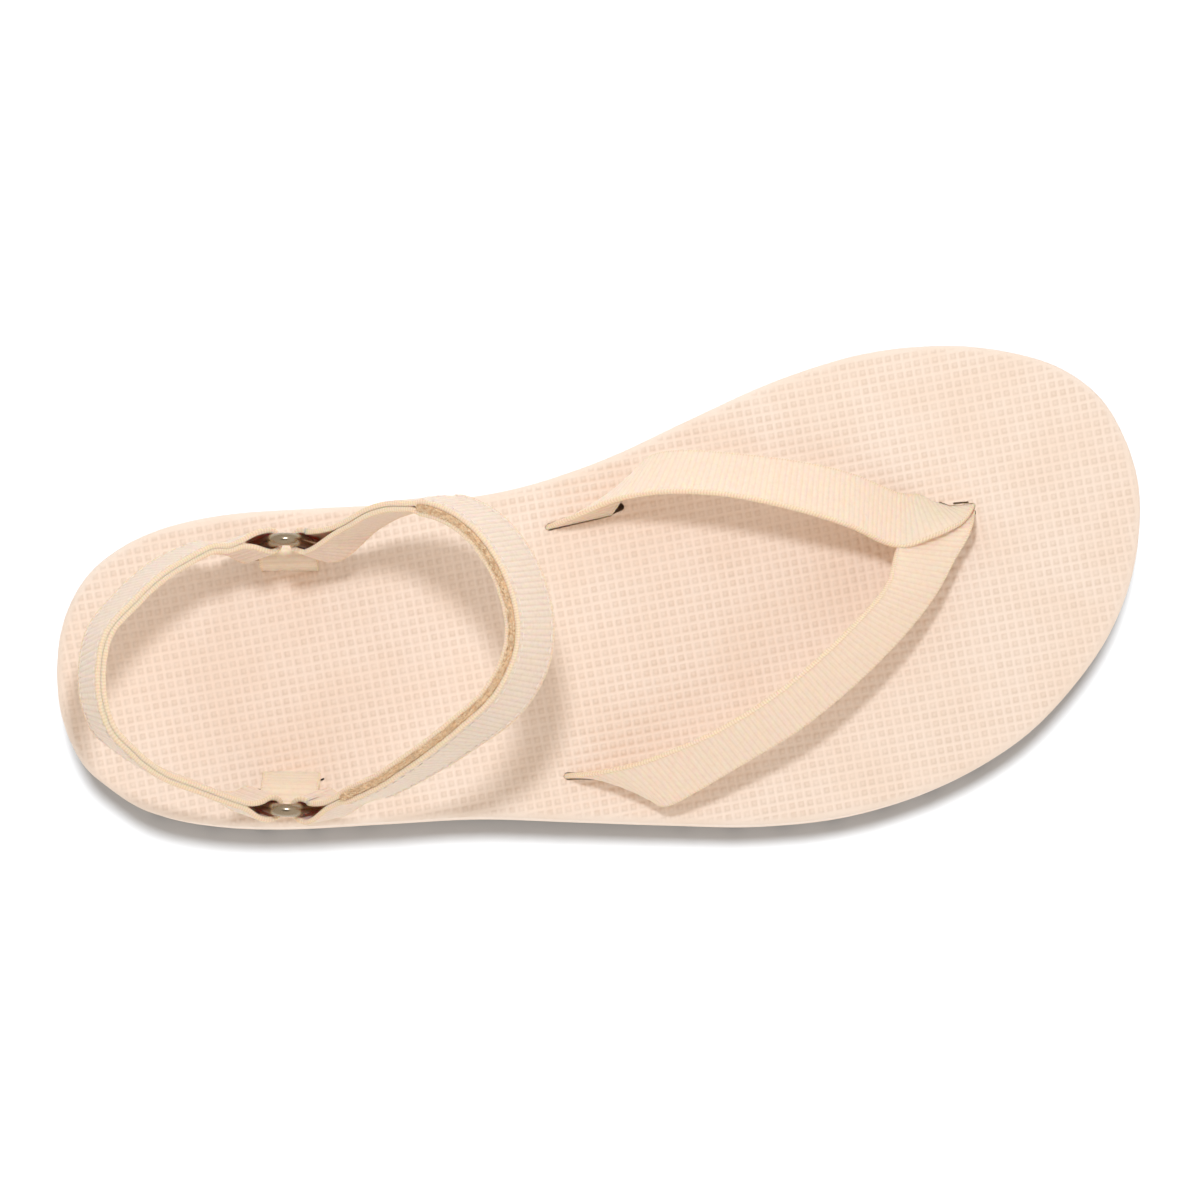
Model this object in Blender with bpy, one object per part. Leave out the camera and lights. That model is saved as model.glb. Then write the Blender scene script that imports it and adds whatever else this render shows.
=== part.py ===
"""Flatform thong sandal with an ankle strap, right foot.

+X runs to the toe, +Y to the inner (big toe) side of the foot and +Z up.
The origin is on the floor, under the middle of the sole. Tables are in millimetres.
"""
import math

import bmesh
import bpy
from mathutils import Vector

MM = 0.001
SHARP_ANGLE = math.radians(40.0)
UP = Vector((0.0, 0.0, 1.0))
OBJECT_NAME = "flatform_sandal"

# Moulded sole: plan outline, one row per station along the foot.
HEEL_TIP = (-129.8, 5.0)
TOE_TIP = (129.8, 12.5)
OUTLINE = (
    # station, inner side, outer side
    (-127.4, 19.6, -8.0),
    (-121.8, 30.2, -15.9),
    (-113.6, 37.2, -23.1),
    (-101.0, 41.6, -28.3),
    (-84.0, 42.6, -32.2),
    (-60.0, 40.0, -35.3),
    (-38.0, 37.2, -38.1),
    (-16.0, 36.4, -42.8),
    (6.0, 39.4, -47.6),
    (28.0, 45.2, -51.9),
    (50.0, 50.7, -53.3),
    (72.0, 53.3, -50.3),
    (92.0, 51.5, -43.0),
    (108.0, 46.4, -31.4),
    (119.0, 39.6, -19.2),
    (126.5, 29.2, -4.5),
)
OUTLINE_STEPS = 4

# Footbed height and underside height above the floor, one row per station.
SOLE_HEIGHTS = (
    # station, footbed, underside
    (-131.0, 37.5, 2.6),
    (-112.0, 36.5, 0.0),
    (-88.0, 36.0, 0.0),
    (-62.0, 35.8, 0.0),
    (-36.0, 35.0, 1.4),
    (-10.0, 33.4, 1.6),
    (16.0, 32.0, 0.0),
    (42.0, 31.2, 0.0),
    (68.0, 31.2, 0.0),
    (94.0, 32.2, 1.6),
    (131.0, 35.0, 7.6),
)
HEIGHT_STEPS = 8
ARCH_LIFT = 1.6
ARCH_STATION = -14.0
ARCH_REACH = 46.0
ARCH_INNER_SIDE = 36.0
WALL_FLARE = 0.7
TOP_ROUND = 1.8
BOTTOM_ROUND = 2.4
ROUND_STEPS = 3
FOOTBED_BORDER = 9.0
MID_SHARE = 0.24

# Tread: straight grooves across the underside of the heel and the forefoot.
GROOVE_WIDTH = 3.4
GROOVE_DEPTH = 2.4
GROOVE_PITCH = 12.0
GROOVE_LENGTH = 140.0
HEEL_GROOVES = (-113.0, 5)
FOREFOOT_GROOVES = (10.0, 7)

# Webbing.
WEB_WIDTH = 16.0
WEB_THICK = 1.2
WEB_EDGE_ROUND = 0.45
FIT_GAP = 0.3
SLIT_GAP = 0.45

# Thong strap: centre of the webbing, height over the footbed, then the plan
# heading and the rise of its width, taken from the front edge to the rear edge.
INNER_LEG = (
    # x, y, height, heading, rise
    (-5.0, 26.6, -10.0, -174.0, 20.0),
    (-0.5, 27.2, 0.0, -172.0, 18.0),
    (7.5, 31.0, 7.0, -146.0, 20.0),
    (14.0, 33.2, 13.2, -130.0, 35.0),
    (23.6, 32.3, 18.4, -121.0, 44.0),
    (36.0, 29.1, 21.0, -114.0, 47.0),
    (50.0, 24.5, 20.2, -108.0, 44.0),
    (61.5, 19.2, 16.6, -104.0, 38.0),
    (71.8, 12.9, 10.3, -104.0, 36.0),
    (78.6, 11.8, 7.1, -83.0, 49.0),
    (83.2, 12.4, 2.8, -60.0, 53.0),
    (84.7, 15.0, -3.8, -20.0, 38.0),
    (84.7, 15.8, -10.0, -11.0, 22.0),
)
OUTER_LEG = (
    # x, y, height, heading, rise
    (-12.0, -33.2, -10.0, 170.0, 20.0),
    (-7.2, -34.0, 0.0, 168.0, 18.0),
    (-2.0, -36.8, 6.0, 144.0, 22.0),
    (4.0, -37.5, 11.0, 124.0, 37.0),
    (12.6, -36.0, 15.6, 120.0, 46.0),
    (24.0, -32.7, 19.2, 120.0, 50.0),
    (37.6, -27.4, 21.0, 121.0, 49.0),
    (50.5, -20.8, 20.5, 126.0, 46.0),
    (62.8, -12.8, 18.0, 140.0, 42.0),
    (71.9, -4.8, 14.0, 158.0, 34.0),
    (77.2, 3.3, 9.8, 165.0, 22.0),
    (80.8, 8.8, 7.1, 167.0, 18.0),
    (83.2, 13.2, 1.8, 169.0, 15.0),
    (84.1, 14.6, -4.0, 170.0, 12.0),
    (84.4, 15.0, -10.0, 170.0, 12.0),
)
LEG_STEPS = 3

# Wire rings: rounded triangles with one side down, one row for each side of the foot.
RING_SIDE = 26.0
RING_CORNER = 3.5
RING_WIRE = 3.0
RING_CORNER_STEPS = 8
RINGS = {
    # side of the foot: bar x, bar y, bar height, heading, outward lean, inset and heading of the tab's slit
    "inner": (-70.3, 30.0, 8.5, -3.0, 8.5, 2.0, -11.0),
    "outer": (-79.8, -25.0, 8.5, -12.0, 10.0, 4.0, -10.0),
}
OUTWARD = {"inner": 1.0, "outer": -1.0}
LOOP_WIDTH = 13.4
LOOP_STRAIGHT = 6.0
DRAWN_IN_FROM = 3.0
DRAWN_IN_LENGTH = 14.0

# Ankle straps: middle of the doubled webbing, height over the footbed and inward lean.
HEEL_STRAP = (
    # x, y, height, lean
    (-89.4, 33.5, 26.6, 5.0),
    (-98.4, 30.5, 31.4, 10.0),
    (-107.0, 25.4, 36.8, 15.0),
    (-114.6, 18.4, 41.8, 18.0),
    (-118.4, 8.0, 43.8, 19.0),
    (-118.0, -1.6, 42.6, 16.0),
    (-114.2, -8.2, 38.6, 8.0),
    (-108.0, -14.5, 33.2, 1.0),
    (-99.4, -20.1, 28.0, 0.0),
)
INSTEP_STRAP = (
    # x, y, height, lean
    (-57.2, -26.8, 33.4, 12.0),
    (-47.6, -24.9, 40.8, 20.0),
    (-37.1, -19.7, 47.2, 23.0),
    (-27.0, -13.5, 52.2, 26.0),
    (-20.4, -6.2, 54.8, 29.0),
    (-17.4, 1.6, 55.6, 30.0),
    (-17.2, 10.2, 55.0, 30.0),
    (-19.2, 18.9, 53.0, 29.0),
    (-23.4, 26.8, 49.8, 25.0),
    (-29.6, 32.4, 45.2, 17.0),
    (-37.2, 35.2, 39.6, 6.0),
    (-45.6, 35.0, 33.6, -8.0),
)
HEEL_LAYER_GAP = 0.25
INSTEP_LAYER_GAP = 1.5
EYE_GAP = 0.4
EYE_LENGTH = 12.0
INSTEP_EYE_LENGTH = 11.0
RING_FRAME_REACH = 16.0
STRAP_SPACING = 3.4
PATH_STEPS = 10
EYE_STEPS = 7
TAB_DEPTH = 9.0
TAB_LAYER_GAP = 0.3
TAB_EYE_LENGTH = 6.0
TAB_SPACING = 2.0
TAB_POCKET_SPACING = 1.2

# Hook-and-loop tape between the two layers of the instep strap.
TAPE_WIDTH = 14.6
TAPE_THICK = 0.9
TAPE_START = 30.0
TAPE_END = 34.0

# Colours are linear red, green and blue.
FINISHES = {
    # name: colour, roughness, metallic
    "foam": ((0.87, 0.70, 0.56), 0.75, 0.0),
    "webbing": ((0.86, 0.72, 0.57), 0.85, 0.0),
    "hook_tape": ((0.66, 0.50, 0.33), 0.95, 0.0),
    "nickel": ((0.62, 0.60, 0.56), 0.25, 1.0),
}


def clear_scene():
    """Empty the scene of objects."""
    for item in list(bpy.data.objects):
        bpy.data.objects.remove(item, do_unlink=True)


def new_collection(name):
    """A collection linked under the scene."""
    group = bpy.data.collections.new(name)
    bpy.context.scene.collection.children.link(group)
    return group


def finish(name):
    """The Principled material of one finish."""
    colour, roughness, metallic = FINISHES[name]
    made = bpy.data.materials.new(name)
    made.use_nodes = True
    shader = made.node_tree.nodes["Principled BSDF"]
    shader.inputs["Base Color"].default_value = (*colour, 1.0)
    shader.inputs["Roughness"].default_value = roughness
    shader.inputs["Metallic"].default_value = metallic
    return made


def smooth_rows(rows, steps):
    """Catmull-Rom curve through the rows, column by column, with the given steps in each span."""
    last = len(rows) - 1
    curve = []
    for i in range(last):
        before, here, there, after = (rows[min(max(k, 0), last)] for k in (i - 1, i, i + 1, i + 2))
        for j in range(steps):
            t = j / steps
            curve.append(tuple(
                0.5 * (2 * b + (c - a) * t + (2 * a - 5 * b + 4 * c - d) * t ** 2
                       + (3 * b - a - 3 * c + d) * t ** 3)
                for a, b, c, d in zip(before, here, there, after)))
    curve.append(tuple(rows[-1]))
    return curve


def ease(t):
    """Smooth step from 0 to 1."""
    t = min(max(t, 0.0), 1.0)
    return t * t * (3.0 - 2.0 * t)


HEIGHT_CURVE = smooth_rows(SOLE_HEIGHTS, HEIGHT_STEPS)


def height_at(x, column):
    """Height of the footbed (column 1) or the underside (column 2) at a station."""
    for low, high in zip(HEIGHT_CURVE, HEIGHT_CURVE[1:]):
        if x <= high[0]:
            share = min(max((x - low[0]) / (high[0] - low[0]), 0.0), 1.0)
            return low[column] + share * (high[column] - low[column])
    return HEIGHT_CURVE[-1][column]


def footbed(x, y):
    """Height of the footbed, with the arch lifted along the inner side."""
    along = max(0.0, 1.0 - ((x - ARCH_STATION) / ARCH_REACH) ** 2)
    across = ease(y / ARCH_INNER_SIDE)
    return height_at(x, 1) + ARCH_LIFT * along * along * across


def skin(name, rings, closed, paired_caps=False):
    """A closed mesh over rings of points; the ends are joined, capped, or capped from side to side."""
    mesh = bpy.data.meshes.new(name)
    bm = bmesh.new()
    loops = [[bm.verts.new(Vector(p) * MM) for p in ring] for ring in rings]
    count = len(loops[0])
    pairs = list(zip(loops, loops[1:]))
    if closed:
        pairs.append((loops[-1], loops[0]))
    for low, high in pairs:
        for i in range(count):
            j = (i + 1) % count
            bm.faces.new((low[i], low[j], high[j], high[i]))
    if not closed:
        for loop in (loops[0], loops[-1]):
            if not paired_caps:
                bm.faces.new(loop)
                continue
            for i in range(count // 2):
                corners = [loop[i], loop[i + 1], loop[(count - i - 1) % count], loop[(count - i) % count]]
                bm.faces.new(list(dict.fromkeys(corners)))
    bmesh.ops.recalc_face_normals(bm, faces=bm.faces)
    bm.to_mesh(mesh)
    bm.free()
    return mesh


def place(mesh, group, material=None):
    """An object for a mesh, in a collection, shaded smooth with sharp corners kept."""
    made = bpy.data.objects.new(mesh.name, mesh)
    group.objects.link(made)
    if material:
        mesh.materials.append(material)
        mesh.shade_smooth()
        mesh.set_sharp_from_angle(angle=SHARP_ANGLE)
    return made


def cutter(mesh, group):
    """A wire-drawn object that only cuts."""
    made = place(mesh, group)
    made.hide_render = True
    made.display_type = "WIRE"
    return made


def cut(target, tool):
    """Subtract a cutter from a part."""
    step = target.modifiers.new("cut_" + tool.name, "BOOLEAN")
    step.operation = "DIFFERENCE"
    step.object = tool


def web_section(centre, width_way, thick_way, width, thick):
    """Six-sided section of webbing: flat faces and edges that are slightly rounded."""
    half_width = 0.5 * width
    half_thick = 0.5 * thick
    flat = half_width - WEB_EDGE_ROUND
    corners = ((half_width, 0.0), (flat, half_thick), (-flat, half_thick),
               (-half_width, 0.0), (-flat, -half_thick), (flat, -half_thick))
    return [centre + width_way * w + thick_way * t for w, t in corners]


# Sole

def sole_outline():
    """Points round the sole from the heel tip along the inner side to the toe tip and back."""
    inner = [HEEL_TIP] + [(x, y) for x, y, _ in OUTLINE] + [TOE_TIP]
    outer = [HEEL_TIP] + [(x, y) for x, _, y in OUTLINE] + [TOE_TIP]
    round_trip = inner + outer[-2:0:-1]
    count = len(round_trip)
    wrapped = round_trip[-2:] + round_trip + round_trip[:3]
    curve = smooth_rows(wrapped, OUTLINE_STEPS)
    return curve[2 * OUTLINE_STEPS:(2 + count) * OUTLINE_STEPS]


def inset(outline, distance):
    """The outline moved inwards along its own normals."""
    count = len(outline)
    moved = []
    for i, (x, y) in enumerate(outline):
        ahead = outline[(i + 1) % count]
        behind = outline[i - 1]
        along = Vector((ahead[0] - behind[0], ahead[1] - behind[1])).normalized()
        moved.append((x + along.y * distance, y - along.x * distance))
    return moved


def towards_middle(outline, share):
    """Each point moved part of the way to its partner on the other side of the foot."""
    count = len(outline)
    return [(x + share * (outline[-i % count][0] - x), y + share * (outline[-i % count][1] - y))
            for i, (x, y) in enumerate(outline)]


def sole_mesh():
    """The moulded sole: underside, rounded lower edge, flared wall, rounded upper edge, footbed."""
    outline = sole_outline()
    rings = []

    def add(plan, level):
        rings.append([(x, y, level(x, y)) for x, y in plan])

    def underside(x, y):
        return max(0.0, height_at(x, 2))

    border = inset(outline, FOOTBED_BORDER)
    add(towards_middle(border, MID_SHARE), underside)
    add(border, underside)
    for step in range(ROUND_STEPS + 1):
        turn = 0.5 * math.pi * step / ROUND_STEPS
        rise = BOTTOM_ROUND * (1.0 - math.cos(turn))
        plan = inset(outline, BOTTOM_ROUND * (1.0 - math.sin(turn)) - WALL_FLARE)
        add(plan, lambda x, y, rise=rise: underside(x, y) + rise)
    for step in range(ROUND_STEPS + 1):
        turn = 0.5 * math.pi * step / ROUND_STEPS
        drop = TOP_ROUND * (1.0 - math.sin(turn))
        plan = inset(outline, TOP_ROUND * (1.0 - math.cos(turn)))
        add(plan, lambda x, y, drop=drop: footbed(x, y) - drop)
    add(border, footbed)
    add(towards_middle(border, MID_SHARE), footbed)
    return skin("sole", rings, closed=False, paired_caps=True)


def groove_mesh():
    """Bars across the underside, one for each tread groove."""
    mesh = bpy.data.meshes.new("tread_grooves")
    bm = bmesh.new()
    for first, count in (HEEL_GROOVES, FOREFOOT_GROOVES):
        for i in range(count):
            made = bmesh.ops.create_cube(bm, size=1.0)["verts"]
            bmesh.ops.scale(bm, verts=made, vec=Vector((GROOVE_WIDTH, GROOVE_LENGTH, 2 * GROOVE_DEPTH)) * MM)
            bmesh.ops.translate(bm, verts=made, vec=Vector((first + i * GROOVE_PITCH, 0.0, 0.0)) * MM)
    bm.to_mesh(mesh)
    bm.free()
    return mesh


# Thong strap

def leg_sections(rows, width, thick):
    """Sections of webbing along one leg of the thong."""
    curve = smooth_rows(rows, LEG_STEPS)
    centres = [Vector((x, y, footbed(x, y) + height)) for x, y, height, _, _ in curve]
    sections = []
    for i, (_, _, _, heading, rise) in enumerate(curve):
        along = (centres[min(i + 1, len(centres) - 1)] - centres[max(i - 1, 0)]).normalized()
        turn = math.radians(heading)
        tip = math.radians(rise)
        width_way = Vector((math.cos(tip) * math.cos(turn), math.cos(tip) * math.sin(turn), math.sin(tip)))
        thick_way = along.cross(width_way).normalized()
        sections.append(web_section(centres[i], width_way, thick_way, width, thick))
    return sections


def thong_strap(parts, cutters, material):
    """Both legs of the thong, joined where they cross above the toe slot."""
    inner = place(skin("thong_strap", leg_sections(INNER_LEG, WEB_WIDTH, WEB_THICK), False), parts, material)
    outer = cutter(skin("thong_outer_leg", leg_sections(OUTER_LEG, WEB_WIDTH, WEB_THICK), False), cutters)
    join = inner.modifiers.new("joined_at_toe", "BOOLEAN")
    join.operation = "UNION"
    join.object = outer
    return inner


def thong_pockets(cutters):
    """Slits that the ends of the thong go down into."""
    made = []
    for name, rows in (("inner_leg_pocket", INNER_LEG), ("outer_leg_pocket", OUTER_LEG)):
        width = WEB_WIDTH + 2 * SLIT_GAP
        thick = WEB_THICK + 2 * SLIT_GAP
        sections = leg_sections(rows, width, thick)
        for end, way in ((0, -1), (-1, 1)):
            neighbour = end - way
            for i, point in enumerate(sections[end]):
                step = (point - sections[neighbour][i]).normalized()
                sections[end][i] = point + step * SLIT_GAP
        made.append(cutter(skin(name, sections, False), cutters))
    return made


# Rings

def ring_frame(side):
    """Middle of a ring's lower bar, the ways along the bar, up the ring and level outwards."""
    x, y, height, heading, lean, _, _ = RINGS[side]
    turn = math.radians(heading)
    along = Vector((math.cos(turn), math.sin(turn), 0.0))
    outward = UP.cross(along) * OUTWARD[side]
    rise = UP * math.cos(math.radians(lean)) + outward * math.sin(math.radians(lean))
    return Vector((x, y, footbed(x, y) + height)), along, rise, outward


def ring_object(side, parts, material):
    """A bent wire ring: a rounded triangle of round wire."""
    bar, along, rise, _ = ring_frame(side)
    reach = RING_CORNER / math.tan(math.radians(30))
    corners = ((-0.5 * RING_SIDE + reach, RING_CORNER, 150.0),
               (0.5 * RING_SIDE - reach, RING_CORNER, -90.0),
               (0.0, RING_SIDE * math.sqrt(0.75) - 2 * RING_CORNER, 30.0))
    points = []
    for start in (1, 2, 0):
        across, up, first = corners[start]
        for step in range(RING_CORNER_STEPS + 1):
            turn = math.radians(first + 120.0 * step / RING_CORNER_STEPS)
            points.append(bar + along * (across + RING_CORNER * math.cos(turn))
                          + rise * (up + RING_CORNER * math.sin(turn)))
    wire = bpy.data.curves.new("ring_" + side, "CURVE")
    wire.dimensions = "3D"
    wire.bevel_depth = 0.5 * RING_WIRE * MM
    wire.bevel_resolution = 2
    line = wire.splines.new("POLY")
    line.points.add(len(points) - 1)
    for point, place_at in zip(line.points, points):
        point.co = (*(place_at * MM), 1.0)
    line.use_cyclic_u = True
    wire.materials.append(material)
    made = bpy.data.objects.new(wire.name, wire)
    parts.objects.link(made)
    return made


def ring_side(side, towards_toe):
    """Middle of a ring's upper side, the way a strap leaves it, and the way up that side."""
    bar, along, rise, _ = ring_frame(side)
    forward = along if towards_toe else -along
    middle = bar + forward * (0.25 * RING_SIDE) + rise * (0.25 * RING_SIDE * math.sqrt(3.0))
    leave = forward * math.sqrt(0.75) + rise * 0.5
    up_side = rise * math.sqrt(0.75) - forward * 0.5
    return middle, leave, up_side


# Doubled straps

class StrapPath:
    """The middle surface of a doubled strap, from one ring to another."""

    def __init__(self, points, leans, first_up, last_up, reach=None):
        rows = smooth_rows([(*p, lean) for p, lean in zip(points, leans)], PATH_STEPS)
        self.points = [Vector(row[:3]) for row in rows]
        self.leans = [row[3] for row in rows]
        self.first_up = first_up
        self.last_up = last_up
        self.runs = [0.0]
        for a, b in zip(self.points, self.points[1:]):
            self.runs.append(self.runs[-1] + (b - a).length)
        self.length = self.runs[-1]
        self.reach = reach or self.length

    def at(self, run):
        """Point and lean at a run along the path, carried on straight past its ends."""
        if run <= 0.0:
            return self.points[0] + (self.points[1] - self.points[0]).normalized() * run, self.leans[0]
        if run >= self.length:
            way = (self.points[-1] - self.points[-2]).normalized()
            return self.points[-1] + way * (run - self.length), self.leans[-1]
        for i in range(len(self.runs) - 1):
            if run <= self.runs[i + 1]:
                share = (run - self.runs[i]) / (self.runs[i + 1] - self.runs[i])
                lean = self.leans[i] + share * (self.leans[i + 1] - self.leans[i])
                return self.points[i].lerp(self.points[i + 1], share), lean

    def frame(self, run):
        """Point, way along, way up the width and way out of the strap at a run."""
        point, lean = self.at(run)
        along = (self.at(run + 1.0)[0] - self.at(run - 1.0)[0]).normalized()
        level_up = (UP - along * UP.dot(along)).normalized()
        inward = UP.cross(along).normalized()
        free_up = level_up * math.cos(math.radians(lean)) + inward * math.sin(math.radians(lean))
        near_first = 1.0 - ease(run / self.reach)
        near_last = 1.0 - ease((self.length - run) / self.reach)
        free = max(0.0, 1.0 - near_first - near_last)
        up = free_up * free + self.first_up * near_first + self.last_up * near_last
        up = (up - along * up.dot(along)).normalized()
        return point, along, up, along.cross(up)

    def width(self, run):
        """Width of the webbing, drawn in a little where it passes round a ring."""
        from_ring = min(run, self.length - run)
        return LOOP_WIDTH + (WEB_WIDTH - LOOP_WIDTH) * ease((from_ring - DRAWN_IN_FROM) / DRAWN_IN_LENGTH)


def loop_sections(path, layer_gap, eyes, spacing, width):
    """Sections of one band of webbing that runs out along a path and back, round what is at each end."""
    flat_offset = 0.5 * (layer_gap + WEB_THICK)
    ring_offset = 0.5 * (RING_WIRE + WEB_THICK) + EYE_GAP
    end_offsets = [ring_offset if eye else flat_offset for eye in eyes]

    def offset(run):
        value = flat_offset
        for from_end, eye, wide in ((run, eyes[0], end_offsets[0]),
                                    (path.length - run, eyes[1], end_offsets[1])):
            if eye:
                value += (wide - flat_offset) * (1.0 - ease(from_end / eye))
        return value

    count = max(4, round(path.length / spacing))
    runs = [path.length * i / count for i in range(count + 1)]
    line = [(run, offset(run)) for run in runs]
    for step in range(1, EYE_STEPS):
        turn = math.pi * step / EYE_STEPS
        line.append((path.length + end_offsets[1] * math.sin(turn), end_offsets[1] * math.cos(turn)))
    line += [(run, -offset(run)) for run in reversed(runs)]
    for step in range(1, EYE_STEPS):
        turn = math.pi * step / EYE_STEPS
        line.append((-end_offsets[0] * math.sin(turn), -end_offsets[0] * math.cos(turn)))

    sections = []
    for i, (run, out_by) in enumerate(line):
        ahead = line[(i + 1) % len(line)]
        behind = line[i - 1]
        step = Vector((ahead[0] - behind[0], ahead[1] - behind[1])).normalized()
        point, along, up, out = path.frame(run)
        thick_way = out * step.x - along * step.y
        sections.append(web_section(point + out * out_by, up, thick_way, width(run), WEB_THICK))
    return sections


def ankle_path(rows, first, last):
    """Path of an ankle strap between two ring sides, through its own rows."""
    (first_at, first_way, first_up), (last_at, last_way, last_up) = first, last
    points = [first_at, first_at + first_way * LOOP_STRAIGHT]
    points += [Vector((x, y, footbed(x, y) + height)) for x, y, height, _ in rows]
    points += [last_at + last_way * LOOP_STRAIGHT, last_at]
    leans = [row[3] for row in rows]
    leans = [leans[0]] * 2 + leans + [leans[-1]] * 2
    return StrapPath(points, leans, first_up, last_up, RING_FRAME_REACH)


def tab_path(side):
    """Path of an anchor tab from a ring's lower bar down into the sole."""
    bar, along, _, outward = ring_frame(side)
    slit_inset, slit_heading = RINGS[side][5:]
    foot = bar - outward * slit_inset
    foot.z = footbed(foot.x, foot.y)
    slit = Vector((math.cos(math.radians(slit_heading)), math.sin(math.radians(slit_heading)), 0.0))
    down = (foot - bar).normalized()
    deep = foot + (down - UP).normalized() * TAB_DEPTH
    return StrapPath([bar, bar.lerp(foot, 0.5), foot, deep], [0.0] * 4, along, slit)


def tab_pocket(side, path, cutters):
    """Slit in the sole round the foot of an anchor tab."""
    thick = 2 * WEB_THICK + TAB_LAYER_GAP + 2 * FIT_GAP
    sections = []
    start = TAB_EYE_LENGTH
    end = path.length + 0.5 * thick
    count = round((end - start) / TAB_POCKET_SPACING)
    for i in range(count + 1):
        point, along, up, out = path.frame(start + (end - start) * i / count)
        sections.append(web_section(point, up, out, LOOP_WIDTH + 2 * FIT_GAP, thick))
    return cutter(skin("tab_pocket_" + side, sections, False), cutters)


def closure_tape(path, parts, material):
    """Hook-and-loop tape that lies between the two layers of the instep strap."""
    sections = []
    count = round((path.length - TAPE_START - TAPE_END) / STRAP_SPACING)
    for i in range(count + 1):
        run = TAPE_START + (path.length - TAPE_START - TAPE_END) * i / count
        point, along, up, out = path.frame(run)
        sections.append(web_section(point, up, out, TAPE_WIDTH, TAPE_THICK))
    return place(skin("closure_tape", sections, False), parts, material)


def build():
    """Make every part of the sandal."""
    clear_scene()
    parts = new_collection(OBJECT_NAME)
    cutters = new_collection("cutters")
    finishes = {name: finish(name) for name in FINISHES}
    webbing = finishes["webbing"]

    sole = place(sole_mesh(), parts, finishes["foam"])
    cut(sole, cutter(groove_mesh(), cutters))
    thong_strap(parts, cutters, webbing)
    for tool in thong_pockets(cutters):
        cut(sole, tool)

    for side in RINGS:
        ring_object(side, parts, finishes["nickel"])
        path = tab_path(side)
        sections = loop_sections(path, TAB_LAYER_GAP, (TAB_EYE_LENGTH, 0.0), TAB_SPACING, lambda run: LOOP_WIDTH)
        place(skin("anchor_tab_" + side, sections, True), parts, webbing)
        cut(sole, tab_pocket(side, path, cutters))

    heel = ankle_path(HEEL_STRAP, ring_side("inner", False), ring_side("outer", False))
    heel_eyes = (EYE_LENGTH, EYE_LENGTH)
    sections = loop_sections(heel, HEEL_LAYER_GAP, heel_eyes, STRAP_SPACING, heel.width)
    place(skin("heel_strap", sections, True), parts, webbing)

    instep = ankle_path(INSTEP_STRAP, ring_side("outer", True), ring_side("inner", True))
    instep_eyes = (INSTEP_EYE_LENGTH, INSTEP_EYE_LENGTH)
    sections = loop_sections(instep, INSTEP_LAYER_GAP, instep_eyes, STRAP_SPACING, instep.width)
    place(skin("instep_strap", sections, True), parts, webbing)
    closure_tape(instep, parts, finishes["hook_tape"])


build()
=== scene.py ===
"""Looks of a flatform thong sandal with an ankle strap, right foot.

+X runs to the toe, +Y to the inner (big toe) side of the foot and +Z up.
Sizes and tables are in millimetres, and meshes in metres.
"""
import bisect
import math
import random

import bmesh
import bpy
from mathutils import Matrix, Vector
from mathutils.kdtree import KDTree


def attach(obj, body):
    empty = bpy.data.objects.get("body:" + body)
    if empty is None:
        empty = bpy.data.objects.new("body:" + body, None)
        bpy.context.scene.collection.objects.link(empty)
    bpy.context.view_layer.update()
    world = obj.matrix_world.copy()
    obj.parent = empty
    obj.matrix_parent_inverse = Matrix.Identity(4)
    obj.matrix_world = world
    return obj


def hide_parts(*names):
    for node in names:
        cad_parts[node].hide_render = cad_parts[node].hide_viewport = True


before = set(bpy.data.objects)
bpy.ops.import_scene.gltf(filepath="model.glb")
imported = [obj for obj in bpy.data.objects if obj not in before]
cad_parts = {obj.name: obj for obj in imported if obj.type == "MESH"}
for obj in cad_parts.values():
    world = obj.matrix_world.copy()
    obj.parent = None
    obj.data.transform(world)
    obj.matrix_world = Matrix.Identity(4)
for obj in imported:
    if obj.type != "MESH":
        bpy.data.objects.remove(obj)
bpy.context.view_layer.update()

# Sole
# One thick block of moulded foam, cream with a pink cast. Its top is the footbed, moulded with
# rows of small square studs, and slits in it take the feet of all the straps.
MM = 0.001
UP = Vector((0.0, 0.0, 1.0))
HEEL_TIP = (-129.8, 5.0)
TOE_TIP = (129.8, 12.5)
OUTLINE = (
    # station, inner side, outer side
    (-127.4, 19.6, -8.0),
    (-121.8, 30.2, -15.9),
    (-113.6, 37.2, -23.1),
    (-101.0, 41.6, -28.3),
    (-84.0, 42.6, -32.2),
    (-60.0, 40.0, -35.3),
    (-38.0, 37.2, -38.1),
    (-16.0, 36.4, -42.8),
    (6.0, 39.4, -47.6),
    (28.0, 45.2, -51.9),
    (50.0, 50.7, -53.3),
    (72.0, 53.3, -50.3),
    (92.0, 51.5, -43.0),
    (108.0, 46.4, -31.4),
    (119.0, 39.6, -19.2),
    (126.5, 29.2, -4.5),
)
OUTLINE_STEPS = 8
SOLE_HEIGHTS = (
    # station, footbed, underside
    (-131.0, 37.5, 2.6),
    (-112.0, 36.5, 0.0),
    (-88.0, 36.0, 0.0),
    (-62.0, 35.8, 0.0),
    (-36.0, 35.0, 1.4),
    (-10.0, 33.4, 1.6),
    (16.0, 32.0, 0.0),
    (42.0, 31.2, 0.0),
    (68.0, 31.2, 0.0),
    (94.0, 32.2, 1.6),
    (131.0, 35.0, 7.6),
)
HEIGHT_STEPS = 8
ARCH_LIFT = 1.6
ARCH_STATION = -14.0
ARCH_REACH = 46.0
ARCH_INNER_SIDE = 36.0
WALL_FLARE = 0.7
TOP_ROUND = 1.8
BOTTOM_ROUND = 2.4
ROUND_STEPS = 5
UNDERSIDE_BORDER = 9.0
UNDERSIDE_RINGS = (0.5, 0.25, 0.0)
WALL_TOP = 60.0
LOFT_WELD = 0.05

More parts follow.
